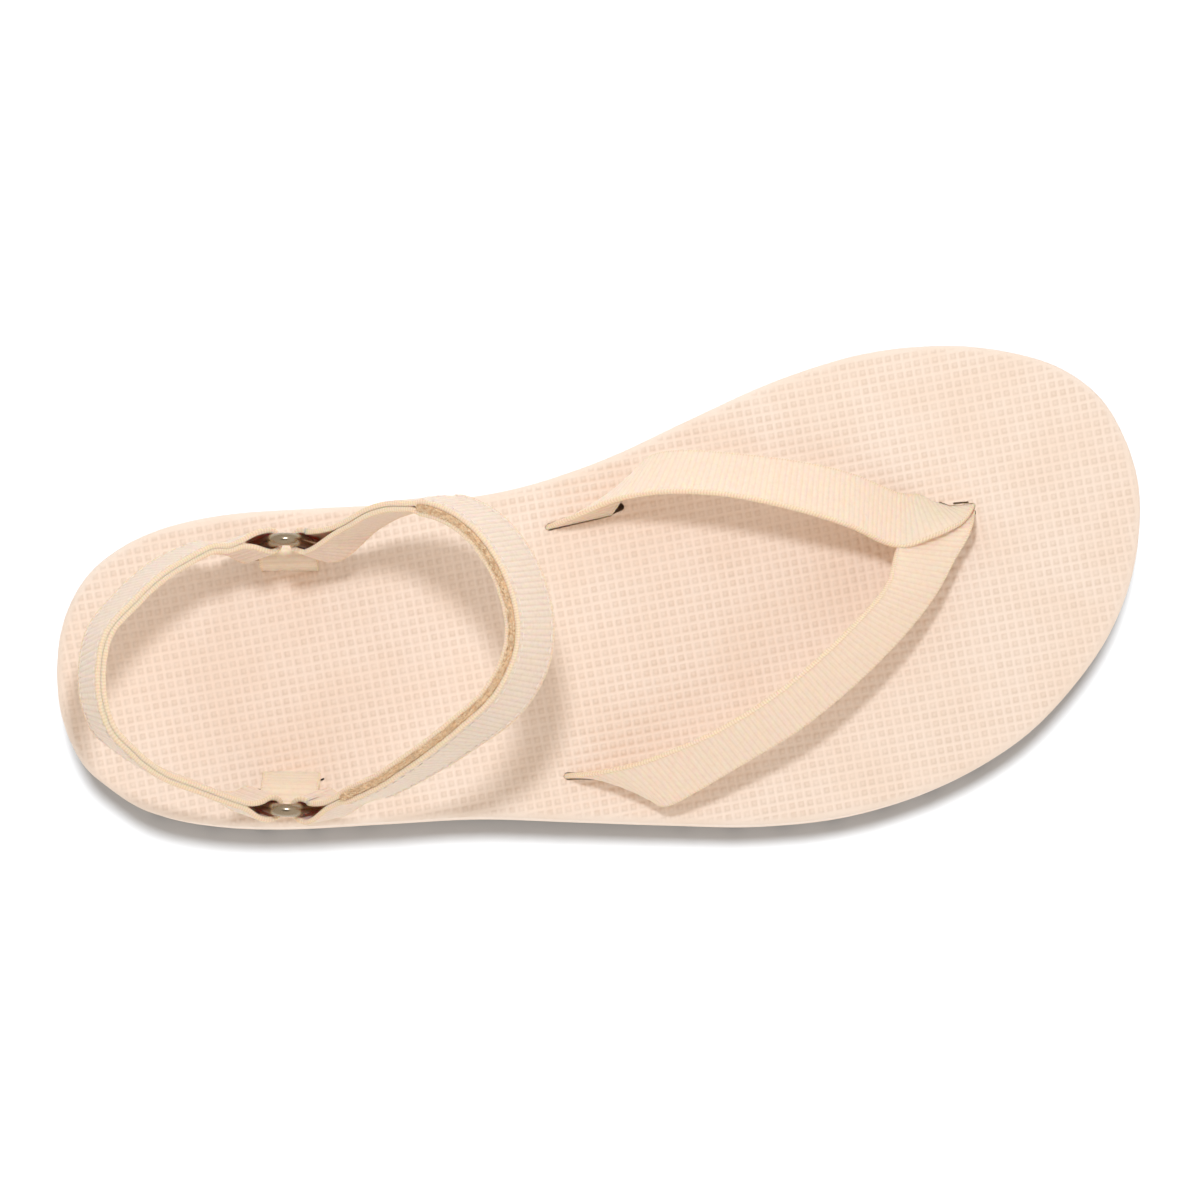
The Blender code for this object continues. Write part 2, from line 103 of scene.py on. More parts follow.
GROOVE_WIDTH = 3.4
GROOVE_DEPTH = 2.4
GROOVE_PITCH = 12.0
GROOVE_LENGTH = 140.0
HEEL_GROOVES = (-113.0, 5)
FOREFOOT_GROOVES = (10.0, 7)

STUD_PITCH = 2.17
STUD_CELLS = (124, 52)
# Across a stud's cell: foot, top edge, top edge and foot, as shares of the pitch.
STUD_LINES = (0.11, 0.27, 0.73, 0.89)
STUD_RISE = 0.40
STUD_CROWN = 0.10
# The stud colour is painted shade; a stud's top gets less of it than its sides.
STUD_CROWN_LESS_SHADE = 0.55
STUD_FADE_FROM = 0.4
STUD_FADE = 1.2
BLOCK_BASE = -10.0


def smooth_rows(rows, steps):
    """Catmull-Rom curve through the rows, column by column, with the given steps in each span."""
    last = len(rows) - 1
    curve = []
    for i in range(last):
        before, here, there, after = (rows[min(max(k, 0), last)] for k in (i - 1, i, i + 1, i + 2))
        for j in range(steps):
            t = j / steps
            curve.append(tuple(
                0.5 * (2 * b + (c - a) * t + (2 * a - 5 * b + 4 * c - d) * t ** 2
                       + (3 * b - a - 3 * c + d) * t ** 3)
                for a, b, c, d in zip(before, here, there, after)))
    curve.append(tuple(rows[-1]))
    return curve


def ease(t):
    """Smooth step from 0 to 1."""
    t = min(max(t, 0.0), 1.0)
    return t * t * (3.0 - 2.0 * t)


HEIGHT_CURVE = smooth_rows(SOLE_HEIGHTS, HEIGHT_STEPS)
STATIONS = [row[0] for row in HEIGHT_CURVE]


def height_at(x, column):
    """Height of the footbed (column 1) or the underside (column 2) at a station."""
    i = min(max(bisect.bisect(STATIONS, x), 1), len(STATIONS) - 1)
    low, high = HEIGHT_CURVE[i - 1], HEIGHT_CURVE[i]
    share = min(max((x - low[0]) / (high[0] - low[0]), 0.0), 1.0)
    return low[column] + share * (high[column] - low[column])


def footbed(x, y):
    """Height of the footbed, with the arch lifted along the inner side."""
    along = max(0.0, 1.0 - ((x - ARCH_STATION) / ARCH_REACH) ** 2)
    across = ease(y / ARCH_INNER_SIDE)
    return height_at(x, 1) + ARCH_LIFT * along * along * across


def underside(x):
    """Height of the sole's underside over the floor."""
    return max(0.0, height_at(x, 2))


def sole_outline():
    """Points round the sole from the heel tip along the inner side to the toe tip and back."""
    inner = [HEEL_TIP] + [(x, y) for x, y, _ in OUTLINE] + [TOE_TIP]
    outer = [HEEL_TIP] + [(x, y) for x, _, y in OUTLINE] + [TOE_TIP]
    round_trip = inner + outer[-2:0:-1]
    count = len(round_trip)
    wrapped = round_trip[-2:] + round_trip + round_trip[:3]
    curve = smooth_rows(wrapped, OUTLINE_STEPS)
    return curve[2 * OUTLINE_STEPS:(2 + count) * OUTLINE_STEPS]


def inset(outline, distance):
    """The outline moved inwards along its own normals."""
    count = len(outline)
    moved = []
    for i, (x, y) in enumerate(outline):
        ahead = outline[(i + 1) % count]
        behind = outline[i - 1]
        along = Vector((ahead[0] - behind[0], ahead[1] - behind[1])).normalized()
        moved.append((x + along.y * distance, y - along.x * distance))
    return moved


def towards_middle(outline, share):
    """Each point moved part of the way to its partner on the other side of the foot."""
    count = len(outline)
    return [(x + share * (outline[-i % count][0] - x), y + share * (outline[-i % count][1] - y))
            for i, (x, y) in enumerate(outline)]


def grow_ring(bm, ring, points):
    """Extrudes a closed ring of vertices to new points."""
    edges = [bm.edges.get(pair) for pair in zip(ring, ring[1:] + ring[:1])]
    grown = bmesh.ops.extrude_edge_only(bm, edges=edges)["geom"]
    fresh = {item for item in grown if isinstance(item, bmesh.types.BMVert)}
    out = []
    for old, point in zip(ring, points):
        new = next(e.other_vert(old) for e in old.link_edges if e.other_vert(old) in fresh)
        new.co = Vector(point) * MM
        out.append(new)
    return out


def loft(name, rings):
    """A closed mesh drawn out from ring to ring, with its open ends filled."""
    bm = bmesh.new()
    ring = bmesh.ops.create_circle(bm, segments=len(rings[0]), radius=1.0)["verts"]
    for vert, point in zip(ring, rings[0]):
        vert.co = Vector(point) * MM
    for points in rings[1:]:
        ring = grow_ring(bm, ring, points)
    bmesh.ops.remove_doubles(bm, verts=bm.verts, dist=LOFT_WELD * MM)
    bmesh.ops.holes_fill(bm, edges=bm.edges, sides=0)
    bmesh.ops.recalc_face_normals(bm, faces=bm.faces)
    return mesh_of(bm, name)


def mesh_of(bm, name):
    """The finished mesh of a bmesh."""
    mesh = bpy.data.meshes.new(name)
    bm.to_mesh(mesh)
    bm.free()
    return mesh


def sole_walls():
    """The sole without its footbed: underside, rounded lower edge, and a wall that runs on upwards."""
    outline = sole_outline()
    border = inset(outline, UNDERSIDE_BORDER)
    rings = [[(x, y, underside(x)) for x, y in towards_middle(border, share)] for share in UNDERSIDE_RINGS]
    for step in range(ROUND_STEPS + 1):
        turn = 0.5 * math.pi * step / ROUND_STEPS
        plan = inset(outline, BOTTOM_ROUND * (1.0 - math.sin(turn)) - WALL_FLARE)
        rise = BOTTOM_ROUND * (1.0 - math.cos(turn))
        rings.append([(x, y, underside(x) + rise) for x, y in plan])
    rings.append([(x, y, footbed(x, y) - TOP_ROUND) for x, y in outline])
    rings.append([(x, y, WALL_TOP) for x, y in outline])
    return loft("sole_walls", rings)


def distance_finder(outline):
    """A function for how far a point lies inside the outline; outside it is negative."""
    tree = KDTree(len(outline))
    for i, (x, y) in enumerate(outline):
        tree.insert((x, y, 0.0), i)
    tree.balance()

    def inside(x, y):
        _, i, _ = tree.find((x, y, 0.0))
        best = None
        for a, b in ((outline[i - 1], outline[i]), (outline[i], outline[(i + 1) % len(outline)])):
            edge = Vector((b[0] - a[0], b[1] - a[1]))
            offset = Vector((x - a[0], y - a[1]))
            share = min(max(offset.dot(edge) / edge.length_squared, 0.0), 1.0)
            gap = (offset - edge * share).length
            side = 1.0 if edge.x * offset.y - edge.y * offset.x < 0.0 else -1.0
            if best is None or gap < abs(best):
                best = side * gap
        return best

    return inside


inside_outline = distance_finder(sole_outline())


def footbed_block():
    """A block larger than the sole, with the studs of the footbed on its top."""
    bm = bmesh.new()
    per_cell = len(STUD_LINES)
    lines = [per_cell * cells for cells in STUD_CELLS]
    bmesh.ops.create_grid(bm, x_segments=lines[0], y_segments=lines[1], size=0.5)
    stud_corners = set()
    for vert in bm.verts:
        place = []
        between = False
        for axis in (0, 1):
            line = round((vert.co[axis] + 0.5) * lines[axis])
            cell, part = divmod(line, per_cell)
            place.append((cell + STUD_LINES[part] - 0.5 * STUD_CELLS[axis]) * STUD_PITCH)
            between = between or part in (0, per_cell - 1)
        x, y = place
        depth = inside_outline(x, y)
        rim = 1.0 - min(max(depth / TOP_ROUND, 0.0), 1.0)
        level = footbed(x, y) - TOP_ROUND * (1.0 - math.sqrt(1.0 - rim * rim))
        if not between:
            stud_corners.add(vert)
            level += STUD_RISE * ease((depth - STUD_FADE_FROM) / STUD_FADE)
        vert.co = Vector((x, y, level)) * MM
    studs = [face for face in bm.faces if all(vert in stud_corners for vert in face.verts)]
    bmesh.ops.poke(bm, faces=studs, offset=STUD_CROWN * MM)
    rim_edges = [edge for edge in bm.edges if edge.is_boundary]
    skirt = bmesh.ops.extrude_edge_only(bm, edges=rim_edges)["geom"]
    for item in skirt:
        if isinstance(item, bmesh.types.BMVert):
            item.co.z = BLOCK_BASE * MM
    bmesh.ops.holes_fill(bm, edges=bm.edges, sides=0)
    bmesh.ops.recalc_face_normals(bm, faces=bm.faces)
    return mesh_of(bm, "footbed_block")


def tread_bars():
    """Bars across the underside, one for each tread groove."""
    bm = bmesh.new()
    size = Vector((GROOVE_WIDTH, GROOVE_LENGTH, 2 * GROOVE_DEPTH)) * MM
    for first, count in (HEEL_GROOVES, FOREFOOT_GROOVES):
        for i in range(count):
            made = bmesh.ops.create_cube(bm, size=1.0)["verts"]
            bmesh.ops.scale(bm, verts=made, vec=size)
            bmesh.ops.translate(bm, verts=made, vec=Vector((first + i * GROOVE_PITCH, 0.0, 0.0)) * MM)
    return mesh_of(bm, "tread_bars")


def carve(name, base, steps):
    """The base mesh after Boolean steps, each an operation and the mesh that it uses."""
    body = bpy.data.objects.new(name, base)
    bpy.context.scene.collection.objects.link(body)
    tools = []
    for operation, mesh in steps:
        tool = bpy.data.objects.new(mesh.name, mesh)
        bpy.context.scene.collection.objects.link(tool)
        tools.append(tool)
        step = body.modifiers.new(mesh.name, "BOOLEAN")
        step.operation = operation
        step.solver = "MANIFOLD"
        step.object = tool
    graph = bpy.context.evaluated_depsgraph_get()
    carved = bpy.data.meshes.new_from_object(body.evaluated_get(graph))
    for item in (body, *tools):
        bpy.data.objects.remove(item)
    carved.name = name
    return carved


# The slits follow the webbing that goes down into them, with a little room all round.
WEB_WIDTH = 16.0
WEB_THICK = 1.2
SLIT_GAP = 0.28
TAB_SLIT_GAP = -0.05
SLIT_END_STEPS = 6
SLIT_ROWS = 5
TOE_SLIT_SHORT = -5.0
SLIT_HOLES = (
    # x, y, heading, half length, width
    (7.4, 27.6, 13.0, 2.1, 1.9),
    (88.0, 14.4, -6.0, 2.0, 0.5),
    (-72.4, -23.0, 13.0, 0.9, 0.45),
)
SLIT_HOLE_DEPTH = 9.0
INNER_LEG = (
    # x, y, height over the footbed, heading and rise of the width from front edge to rear edge
    (-3.2, 26.0, -10.0, -177.0, 2.0),
    (-1.6, 26.5, 0.0, -177.0, 5.0),
    (8.2, 31.6, 8.8, -148.0, 36.0),
    (14.8, 33.5, 13.6, -131.0, 42.0),
    (23.8, 32.7, 18.4, -121.0, 48.0),
    (36.1, 29.5, 21.0, -114.0, 50.0),
    (50.0, 24.5, 20.2, -108.0, 44.0),
    (61.5, 19.2, 16.4, -104.0, 38.0),
    (71.8, 12.9, 9.7, -104.0, 36.0),
    (78.6, 12.7, 6.4, -84.0, 48.0),
    (83.4, 13.3, 2.4, -60.0, 53.0),
    (84.7, 15.0, -3.8, -20.0, 38.0),
    (84.7, 15.8, -10.0, -11.0, 22.0),
)
OUTER_LEG = (
    # x, y, height over the footbed, heading and rise of the width from front edge to rear edge
    (-12.0, -33.2, -10.0, 170.0, 20.0),
    (-7.2, -34.0, 0.0, 168.0, 18.0),
    (-2.0, -37.2, 6.0, 144.0, 22.0),
    (4.0, -37.9, 11.0, 124.0, 37.0),
    (12.6, -35.9, 15.6, 120.0, 46.0),
    (23.8, -32.4, 19.2, 120.0, 53.0),
    (37.4, -27.1, 21.0, 121.0, 52.0),
    (50.0, -20.3, 20.5, 126.0, 51.0),
    (62.1, -12.2, 18.4, 140.0, 49.0),
    (71.3, -4.5, 14.8, 156.0, 44.0),
    (76.8, 3.4, 10.8, 164.0, 27.0),
    (80.7, 8.8, 8.0, 167.0, 8.0),
    (83.2, 13.2, 1.8, 169.0, 15.0),
    (84.1, 14.6, -4.0, 170.0, 12.0),
    (84.4, 15.0, -10.0, 170.0, 12.0),
)
SLIT_STEPS = 3


def leg_frames(rows, steps):
    """Frames along a leg of the thong: centre, way across, way through and half width."""
    curve = smooth_rows(rows, steps)
    centres = [Vector((x, y, footbed(x, y) + height)) for x, y, height, _, _ in curve]
    frames = []
    for i, (_, _, _, heading, rise) in enumerate(curve):
        along = (centres[min(i + 1, len(centres) - 1)] - centres[max(i - 1, 0)]).normalized()
        turn = math.radians(heading)
        tip = math.radians(rise)
        across = Vector((math.cos(tip) * math.cos(turn), math.cos(tip) * math.sin(turn), math.sin(tip)))
        through = along.cross(across).normalized()
        frames.append((centres[i], across, through, 0.5 * WEB_WIDTH))
    return frames


def slit(name, frames, thick, gap, open_front=0.0):
    """The room round webbing that goes down into the sole, with round ends."""
    deep = 0.5 * thick + gap
    turns = [math.pi * (0.5 - step / SLIT_END_STEPS) for step in range(SLIT_END_STEPS + 1)]
    rings = []
    for centre, across, through, half_width in frames:
        rear = half_width + gap - deep
        front = rear + open_front
        corners = [(rear + deep * math.cos(turn), deep * math.sin(turn)) for turn in turns]
        corners += [(-front - deep * math.cos(turn), -deep * math.sin(turn)) for turn in turns]
        rings.append([centre + across * w + through * t for w, t in corners])
    return loft(name, rings)


def slit_hole(x, y, heading, half_length, width):
    """The end of a slit that the webbing leaves open."""
    turn = math.radians(heading)
    along = Vector((math.cos(turn), math.sin(turn), 0.0))
    top = Vector((x, y, footbed(x, y) + width))
    frames = [(top - UP * depth, along, UP.cross(along), half_length) for depth in (0.0, SLIT_HOLE_DEPTH)]
    return slit("slit_hole", frames, width, 0.0)


def lengthened(frames, extra):
    """Frames with both end frames moved outwards."""
    first = (frames[0][0] - frames[1][0]).normalized() * extra
    last = (frames[-1][0] - frames[-2][0]).normalized() * extra
    return ([(frames[0][0] + first, *frames[0][1:])] + frames[1:-1]
            + [(frames[-1][0] + last, *frames[-1][1:])])


# Ring and tab sizes come here because the tabs' slits are cut with the sole.
RING_SIDE = 26.0
RING_CORNER = 3.5
RING_WIRE = 3.0
RINGS = {
    # side of the foot: bar x, bar y, bar height, heading, outward lean, inset and heading of the tab's slit
    "inner": (-70.2, 30.5, 8.5, -9.0, 8.5, 2.5, -11.0),
    "outer": (-79.9, -25.4, 8.5, -12.0, 10.0, 4.4, -10.0),
}
OUTWARD = {"inner": 1.0, "outer": -1.0}
LOOP_WIDTH = 13.4
TAB_DEPTH = 9.0
TAB_LAYER_GAP = 0.3
TAB_EYE_LENGTH = 6.0
TAB_SLIT_SPACING = 1.2
PATH_STEPS = 10


def ring_frame(side):
    """Middle of a ring's lower bar, the ways along the bar, up the ring and level outwards."""
    x, y, height, heading, lean, _, _ = RINGS[side]
    turn = math.radians(heading)
    along = Vector((math.cos(turn), math.sin(turn), 0.0))
    outward = UP.cross(along) * OUTWARD[side]
    rise = UP * math.cos(math.radians(lean)) + outward * math.sin(math.radians(lean))
    return Vector((x, y, footbed(x, y) + height)), along, rise, outward


class StrapPath:
    """The middle surface of a doubled strap, from one end to the other."""

    def __init__(self, points, leans, first_up, last_up, reach=None):
        rows = smooth_rows([(*p, lean) for p, lean in zip(points, leans)], PATH_STEPS)
        self.points = [Vector(row[:3]) for row in rows]
        self.leans = [row[3] for row in rows]
        self.first_up = first_up
        self.last_up = last_up
        self.runs = [0.0]
        for a, b in zip(self.points, self.points[1:]):
            self.runs.append(self.runs[-1] + (b - a).length)
        self.length = self.runs[-1]
        self.reach = reach or self.length

    def at(self, run):
        """Point and lean at a run along the path, carried on straight past its ends."""
        if run <= 0.0:
            return self.points[0] + (self.points[1] - self.points[0]).normalized() * run, self.leans[0]
        if run >= self.length:
            way = (self.points[-1] - self.points[-2]).normalized()
            return self.points[-1] + way * (run - self.length), self.leans[-1]
        i = min(bisect.bisect(self.runs, run), len(self.runs) - 1)
        share = (run - self.runs[i - 1]) / (self.runs[i] - self.runs[i - 1])
        lean = self.leans[i - 1] + share * (self.leans[i] - self.leans[i - 1])
        return self.points[i - 1].lerp(self.points[i], share), lean

    def frame(self, run):
        """Point, way along, way up the width and way out of the strap at a run."""
        point, lean = self.at(run)
        along = (self.at(run + 1.0)[0] - self.at(run - 1.0)[0]).normalized()
        level_up = (UP - along * UP.dot(along)).normalized()
        inward = UP.cross(along).normalized()
        free_up = level_up * math.cos(math.radians(lean)) + inward * math.sin(math.radians(lean))
        near_first = 1.0 - ease(run / self.reach)
        near_last = 1.0 - ease((self.length - run) / self.reach)
        free = max(0.0, 1.0 - near_first - near_last)
        up = free_up * free + self.first_up * near_first + self.last_up * near_last
        up = (up - along * up.dot(along)).normalized()
        return point, along, up, along.cross(up)


def tab_path(side):
    """Path of an anchor tab from a ring's lower bar down into the sole."""
    bar, along, _, outward = ring_frame(side)
    slit_inset, slit_heading = RINGS[side][5:]
    foot = bar - outward * slit_inset
    foot.z = footbed(foot.x, foot.y)
    slit_way = Vector((math.cos(math.radians(slit_heading)), math.sin(math.radians(slit_heading)), 0.0))
    down = (foot - bar).normalized()
    deep = foot + (down - UP).normalized() * TAB_DEPTH
    return StrapPath([bar, bar.lerp(foot, 0.5), foot, deep], [0.0] * 4, along, slit_way)


def tab_slit(side):
    """Room in the sole for the foot of an anchor tab."""
    path = tab_path(side)
    thick = 2 * WEB_THICK + TAB_LAYER_GAP
    end = path.length + 0.5 * thick + TAB_SLIT_GAP
    count = round((end - TAB_EYE_LENGTH) / TAB_SLIT_SPACING)
    frames = []
    for i in range(count + 1):
        point, _, up, out = path.frame(TAB_EYE_LENGTH + (end - TAB_EYE_LENGTH) * i / count)
        frames.append((point, up, out, 0.5 * LOOP_WIDTH))
    return slit("tab_slit_" + side, frames, thick, TAB_SLIT_GAP)


class Signal:
    """A value on its way through a finish; arithmetic on it adds Math nodes."""

    def __init__(self, finish, socket):
        self.finish = finish
        self.socket = socket

    def also(self, output):
        """Another output of the same node."""
        return Signal(self.finish, self.socket.node.outputs[output])

    def math(self, operation, *values):
        return self.finish.node("ShaderNodeMath", {"operation": operation}, dict(enumerate(values)))

    def __add__(self, other):
        return self.math("ADD", self, other)

    def __sub__(self, other):
        return self.math("SUBTRACT", self, other)

    def __rsub__(self, other):
        return self.math("SUBTRACT", other, self)

    def __mul__(self, other):
        return self.math("MULTIPLY", self, other)

    def __abs__(self):
        return self.math("ABSOLUTE", self)

    __radd__ = __add__
    __rmul__ = __mul__

    def fraction(self):
        return self.math("FRACT", self)

    def sine(self):
        return self.math("SINE", self)

    def band(self, low, high):
        """Smooth step from 0 at low to 1 at high."""
        return self.finish.node("ShaderNodeMapRange", {"interpolation_type": "SMOOTHSTEP"},
                                {"Value": self, "From Min": low, "From Max": high})


class Mixture:
    """A node tree and the values that run through it."""

    def __init__(self, owner):
        owner.use_nodes = True
        self.tree = owner.node_tree

    def feed(self, socket, value):
        if isinstance(value, Signal):
            self.tree.links.new(value.socket, socket)
        elif isinstance(value, tuple) and len(value) == 3 and socket.type == "RGBA":
            socket.default_value = (*value, 1.0)
        else:
            socket.default_value = value

    def node(self, kind, settings=None, inputs=None, output=0):
        """A node of a kind with its settings made first, then the values or links of its sockets."""
        made = self.tree.nodes.new(kind)
        for name, value in (settings or {}).items():
            setattr(made, name, value)
        for name, value in (inputs or {}).items():
            self.feed(made.inputs[name], value)
        return Signal(self, made.outputs[output])

    def mix(self, first, second, share):
        """Colours mixed by a share."""
        return self.node("ShaderNodeMix", {"data_type": "RGBA"}, {0: share, 6: first, 7: second}, output=2)

    def noise(self, place, scale, detail):
        """Noise from 0 to 1 over a place."""
        return self.node("ShaderNodeTexNoise", None, {"Vector": place, "Scale": scale, "Detail": detail})


class Finish(Mixture):
    """A Principled material and the nodes that feed it."""

    def __init__(self, name):
        self.material = bpy.data.materials.new(name)
        super().__init__(self.material)
        self.shader = self.tree.nodes["Principled BSDF"]

    def surface(self, **values):
        """Values or links of the shader's own sockets, with underscores for spaces."""
        for name, value in values.items():
            self.feed(self.shader.inputs[name.replace("_", " ")], value)


FOAM_LIGHT = (0.935, 0.785, 0.670)
FOAM_WARM = (0.922, 0.758, 0.633)
FOAM_STUD_SHADE = (0.770, 0.605, 0.480)
FOAM_GLEAM = (1.0, 0.84, 0.70)
FOAM_MOTTLE_SCALE = 60.0
FOAM_SWELL_SCALE = 420.0
FOAM_PORE_SCALE = 2600.0
FOAM_PORE_SHARE = 0.6
FOAM_RELIEF = 0.15
STUD_UNEVEN_SCALE = 330.0
STUD_SHADE_LEAST = 0.36
STUD_SHADE_SPREAD = 0.35


def foam_finish():
    """Moulded foam: soft mottling, painted shade on the studs, and a fine skin of closed pores."""
    foam = Finish("sole_foam")
    place = foam.node("ShaderNodeTexCoord", output="Object")
    mottle = foam.noise(place, FOAM_MOTTLE_SCALE, 4.0).band(0.35, 0.65)
    # The stud attribute holds the painted shade of the studs.
    stud = foam.node("ShaderNodeAttribute", {"attribute_name": "stud"}, output="Fac")
    uneven = foam.noise(place, STUD_UNEVEN_SCALE, 1.0).band(0.3, 0.7)
    stud_shade_tone = stud * (uneven * STUD_SHADE_SPREAD + STUD_SHADE_LEAST)
    tone = foam.mix(FOAM_LIGHT, FOAM_WARM, mottle)
    pores = foam.noise(place, FOAM_PORE_SCALE, 3.0)
    swell = foam.noise(place, FOAM_SWELL_SCALE, 2.0)
    bump = foam.node("ShaderNodeBump", None, {"Strength": 0.30, "Distance": FOAM_RELIEF * MM,
                                              "Height": pores * FOAM_PORE_SHARE + swell})
    foam.surface(Base_Color=foam.mix(tone, FOAM_STUD_SHADE, stud_shade_tone), Roughness=0.60 + 0.12 * mottle,
                 Specular_IOR_Level=0.22, Specular_Tint=FOAM_GLEAM, Normal=bump)
    return foam.material


SHARP_ANGLE = math.radians(72.0)


def stud_shade_shares(mesh):
    """Each vertex's share of the painted stud shade: full on a stud's sides, less on its top, none in a
    groove.
    """
    shares = []
    for vertex in mesh.vertices:
        x, y, z = vertex.co / MM
        height = z - footbed(x, y)
        side = min(max(height / STUD_RISE, 0.0), 1.0)
        crown = min(max((height - STUD_RISE) / STUD_CROWN, 0.0), 1.0)
        shares.append(side - STUD_CROWN_LESS_SHADE * crown)
    return shares


def piece(mesh, material, slot, *nodes):
    """A finished piece that rides on the shoe and stands for the nodes that it replaces."""
    made = bpy.data.objects.new(mesh.name, mesh)
    bpy.context.scene.collection.objects.link(made)
    mesh.materials.clear()
    mesh.materials.append(material)
    mesh.shade_smooth()
    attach(made, "root")
    if nodes:
        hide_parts(*nodes)
    return made


sole_steps = [("INTERSECT", footbed_block()), ("DIFFERENCE", tread_bars())]
for slit_name, slit_rows, open_front in (
        ("inner_side_slit", INNER_LEG[:SLIT_ROWS], 0.0),
        ("outer_side_slit", OUTER_LEG[:SLIT_ROWS], 0.0),
        ("inner_toe_slit", INNER_LEG[-SLIT_ROWS:], TOE_SLIT_SHORT),
        ("outer_toe_slit", OUTER_LEG[-SLIT_ROWS:], 0.0)):
    slit_frames = lengthened(leg_frames(slit_rows, SLIT_STEPS), SLIT_GAP)
    sole_steps.append(("DIFFERENCE", slit(slit_name, slit_frames, WEB_THICK, SLIT_GAP, open_front)))
sole_steps += [("DIFFERENCE", slit_hole(*hole)) for hole in SLIT_HOLES]
for ring_side_name in RINGS:
    sole_steps.append(("DIFFERENCE", tab_slit(ring_side_name)))
sole_mesh = carve("moulded_sole", sole_walls(), sole_steps)
# Painted shade for the studs, stored on the vertices.
stud_shade_layer = sole_mesh.attributes.new("stud", "FLOAT", "POINT")
stud_shade_layer.data.foreach_set("value", stud_shade_shares(sole_mesh))
sole = piece(sole_mesh, foam_finish(), "foam", "sole")
sole_mesh.set_sharp_from_angle(angle=SHARP_ANGLE)

# Thong
# Ribbed webbing in two legs. Each comes up from a slit beside the foot, bends over the forefoot
# and goes down on edge into the toe slot, the inner leg lying over the outer one where they cross.
RIB_PITCH = 1.35
RIB_STEPS = 6
RIB_DEPTH = 0.13
ROPE_STEPS = 3
ROPE_TWIST = 0.09
ROPE_SLANT = 0.22
ROPE_FROM = 0.93
WEB_PROFILE = (
    # share of the half width, share of the half thickness
    (0.0, 1.0), (0.3, 1.0), (0.6, 1.0), (0.86, 1.0),
    (0.915, 0.92), (0.945, 1.0), (0.98, 0.86), (1.0, 0.38),
)
LEG_STEPS = 24
GRID_WELD = 0.001


def even_frames(frames, spacing, closed):
    """Frames spaced evenly along the webbing; a closed run gets a whole number of ribs."""
    chain = frames + frames[:1] if closed else frames
    runs = [0.0]
    for a, b in zip(chain, chain[1:]):
        runs.append(runs[-1] + (b[0] - a[0]).length)
    count = RIB_STEPS * round(runs[-1] / spacing / RIB_STEPS)
    out = []
    for step in range(count if closed else count + 1):
        run = runs[-1] * step / count
        i = min(max(bisect.bisect(runs, run), 1), len(runs) - 1)
        share = (run - runs[i - 1]) / max(runs[i] - runs[i - 1], 1e-9)
        low, high = chain[i - 1], chain[i]
        out.append((low[0].lerp(high[0], share), low[1].lerp(high[1], share).normalized(),
                    low[2].lerp(high[2], share).normalized(), low[3] + share * (high[3] - low[3])))
    return out


def lay_along(name, frames, corners, section, closed):
    """A flat grid laid round and along frames.

    section gives the offsets across and through a frame at a step and a corner, and the
    grid's own coordinates there, which are kept as the map named cloth.
    """
    steps = len(frames) if closed else len(frames) - 1
    bm = bmesh.new()
    bmesh.ops.create_grid(bm, x_segments=steps, y_segments=corners, size=0.5)
    chart = {}
    for vert in bm.verts:
        step = round((vert.co.x + 0.5) * steps)
        corner = round((vert.co.y + 0.5) * corners)
        centre, across, through, half_width = frames[step % len(frames)]
        wide, deep, share = section(step, corner % corners, half_width)
        chart[vert] = (step / RIB_STEPS, share)
        vert.co = (centre + across * wide + through * deep) * MM
    cloth = bm.loops.layers.uv.new("cloth")
    for face in bm.faces:
        for corner_loop in face.loops:
            corner_loop[cloth].uv = chart[corner_loop.vert]
    bmesh.ops.remove_doubles(bm, verts=bm.verts, dist=GRID_WELD * MM)
    bmesh.ops.holes_fill(bm, edges=bm.edges, sides=0)
    bmesh.ops.recalc_face_normals(bm, faces=bm.faces)
    return mesh_of(bm, name)


WEB_SECTION = [(a, t) for a, t in reversed(WEB_PROFILE)]
WEB_SECTION += [(-a, t) for a, t in WEB_PROFILE[1:]]
WEB_SECTION += [(-a, -t) for a, t in reversed(WEB_PROFILE)]
WEB_SECTION += [(a, -t) for a, t in WEB_PROFILE[1:]]


def webbing_section(step, corner, half_width):
    """Ribbed webbing with a twisted edge: offsets across and through, and the share across."""
    share, thick = WEB_SECTION[corner]
    phase = (step % RIB_STEPS) / RIB_STEPS
    crest = 0.5 - 0.5 * math.cos(2.0 * math.pi * phase)
    wide = share * half_width
    deep = thick * 0.5 * WEB_THICK
    if abs(share) > ROPE_FROM:
        turn = 2.0 * math.pi * (step / ROPE_STEPS + ROPE_SLANT * corner)
        twist = ROPE_TWIST * math.cos(turn)
        return wide + math.copysign(twist, share), deep + math.copysign(twist, thick), 0.5 + 0.5 * share
    return wide, deep - math.copysign(RIB_DEPTH * (1.0 - crest), thick), 0.5 + 0.5 * share


def lay_webbing(name, frames, closed):
    """A band of webbing along frames."""
    even = even_frames(frames, RIB_PITCH / RIB_STEPS, closed)
    return lay_along(name, even, len(WEB_SECTION), webbing_section, closed)


# ROPE_SHADE is painted shade in the crevices of the edge's twist.
ROPE_SHADE = (0.70, 0.50, 0.32)
ROPE_SHADE_SHARE = 0.5
ROPE_LEAN = 40.0
VALLEY_SHADE_SHARE = 0.38
SLUB_SHARE = 0.3
SLUB_SCALE = 900.0
YARNS_ACROSS = 36.0
WEB_RELIEF = 0.12
WEB_GLEAM = (1.0, 0.80, 0.60)
WEB_SHEEN = (1.0, 0.85, 0.70)
WEB_GLOW = (1.0, 0.42, 0.16)
WEB_GLOW_DEPTH = 2.0


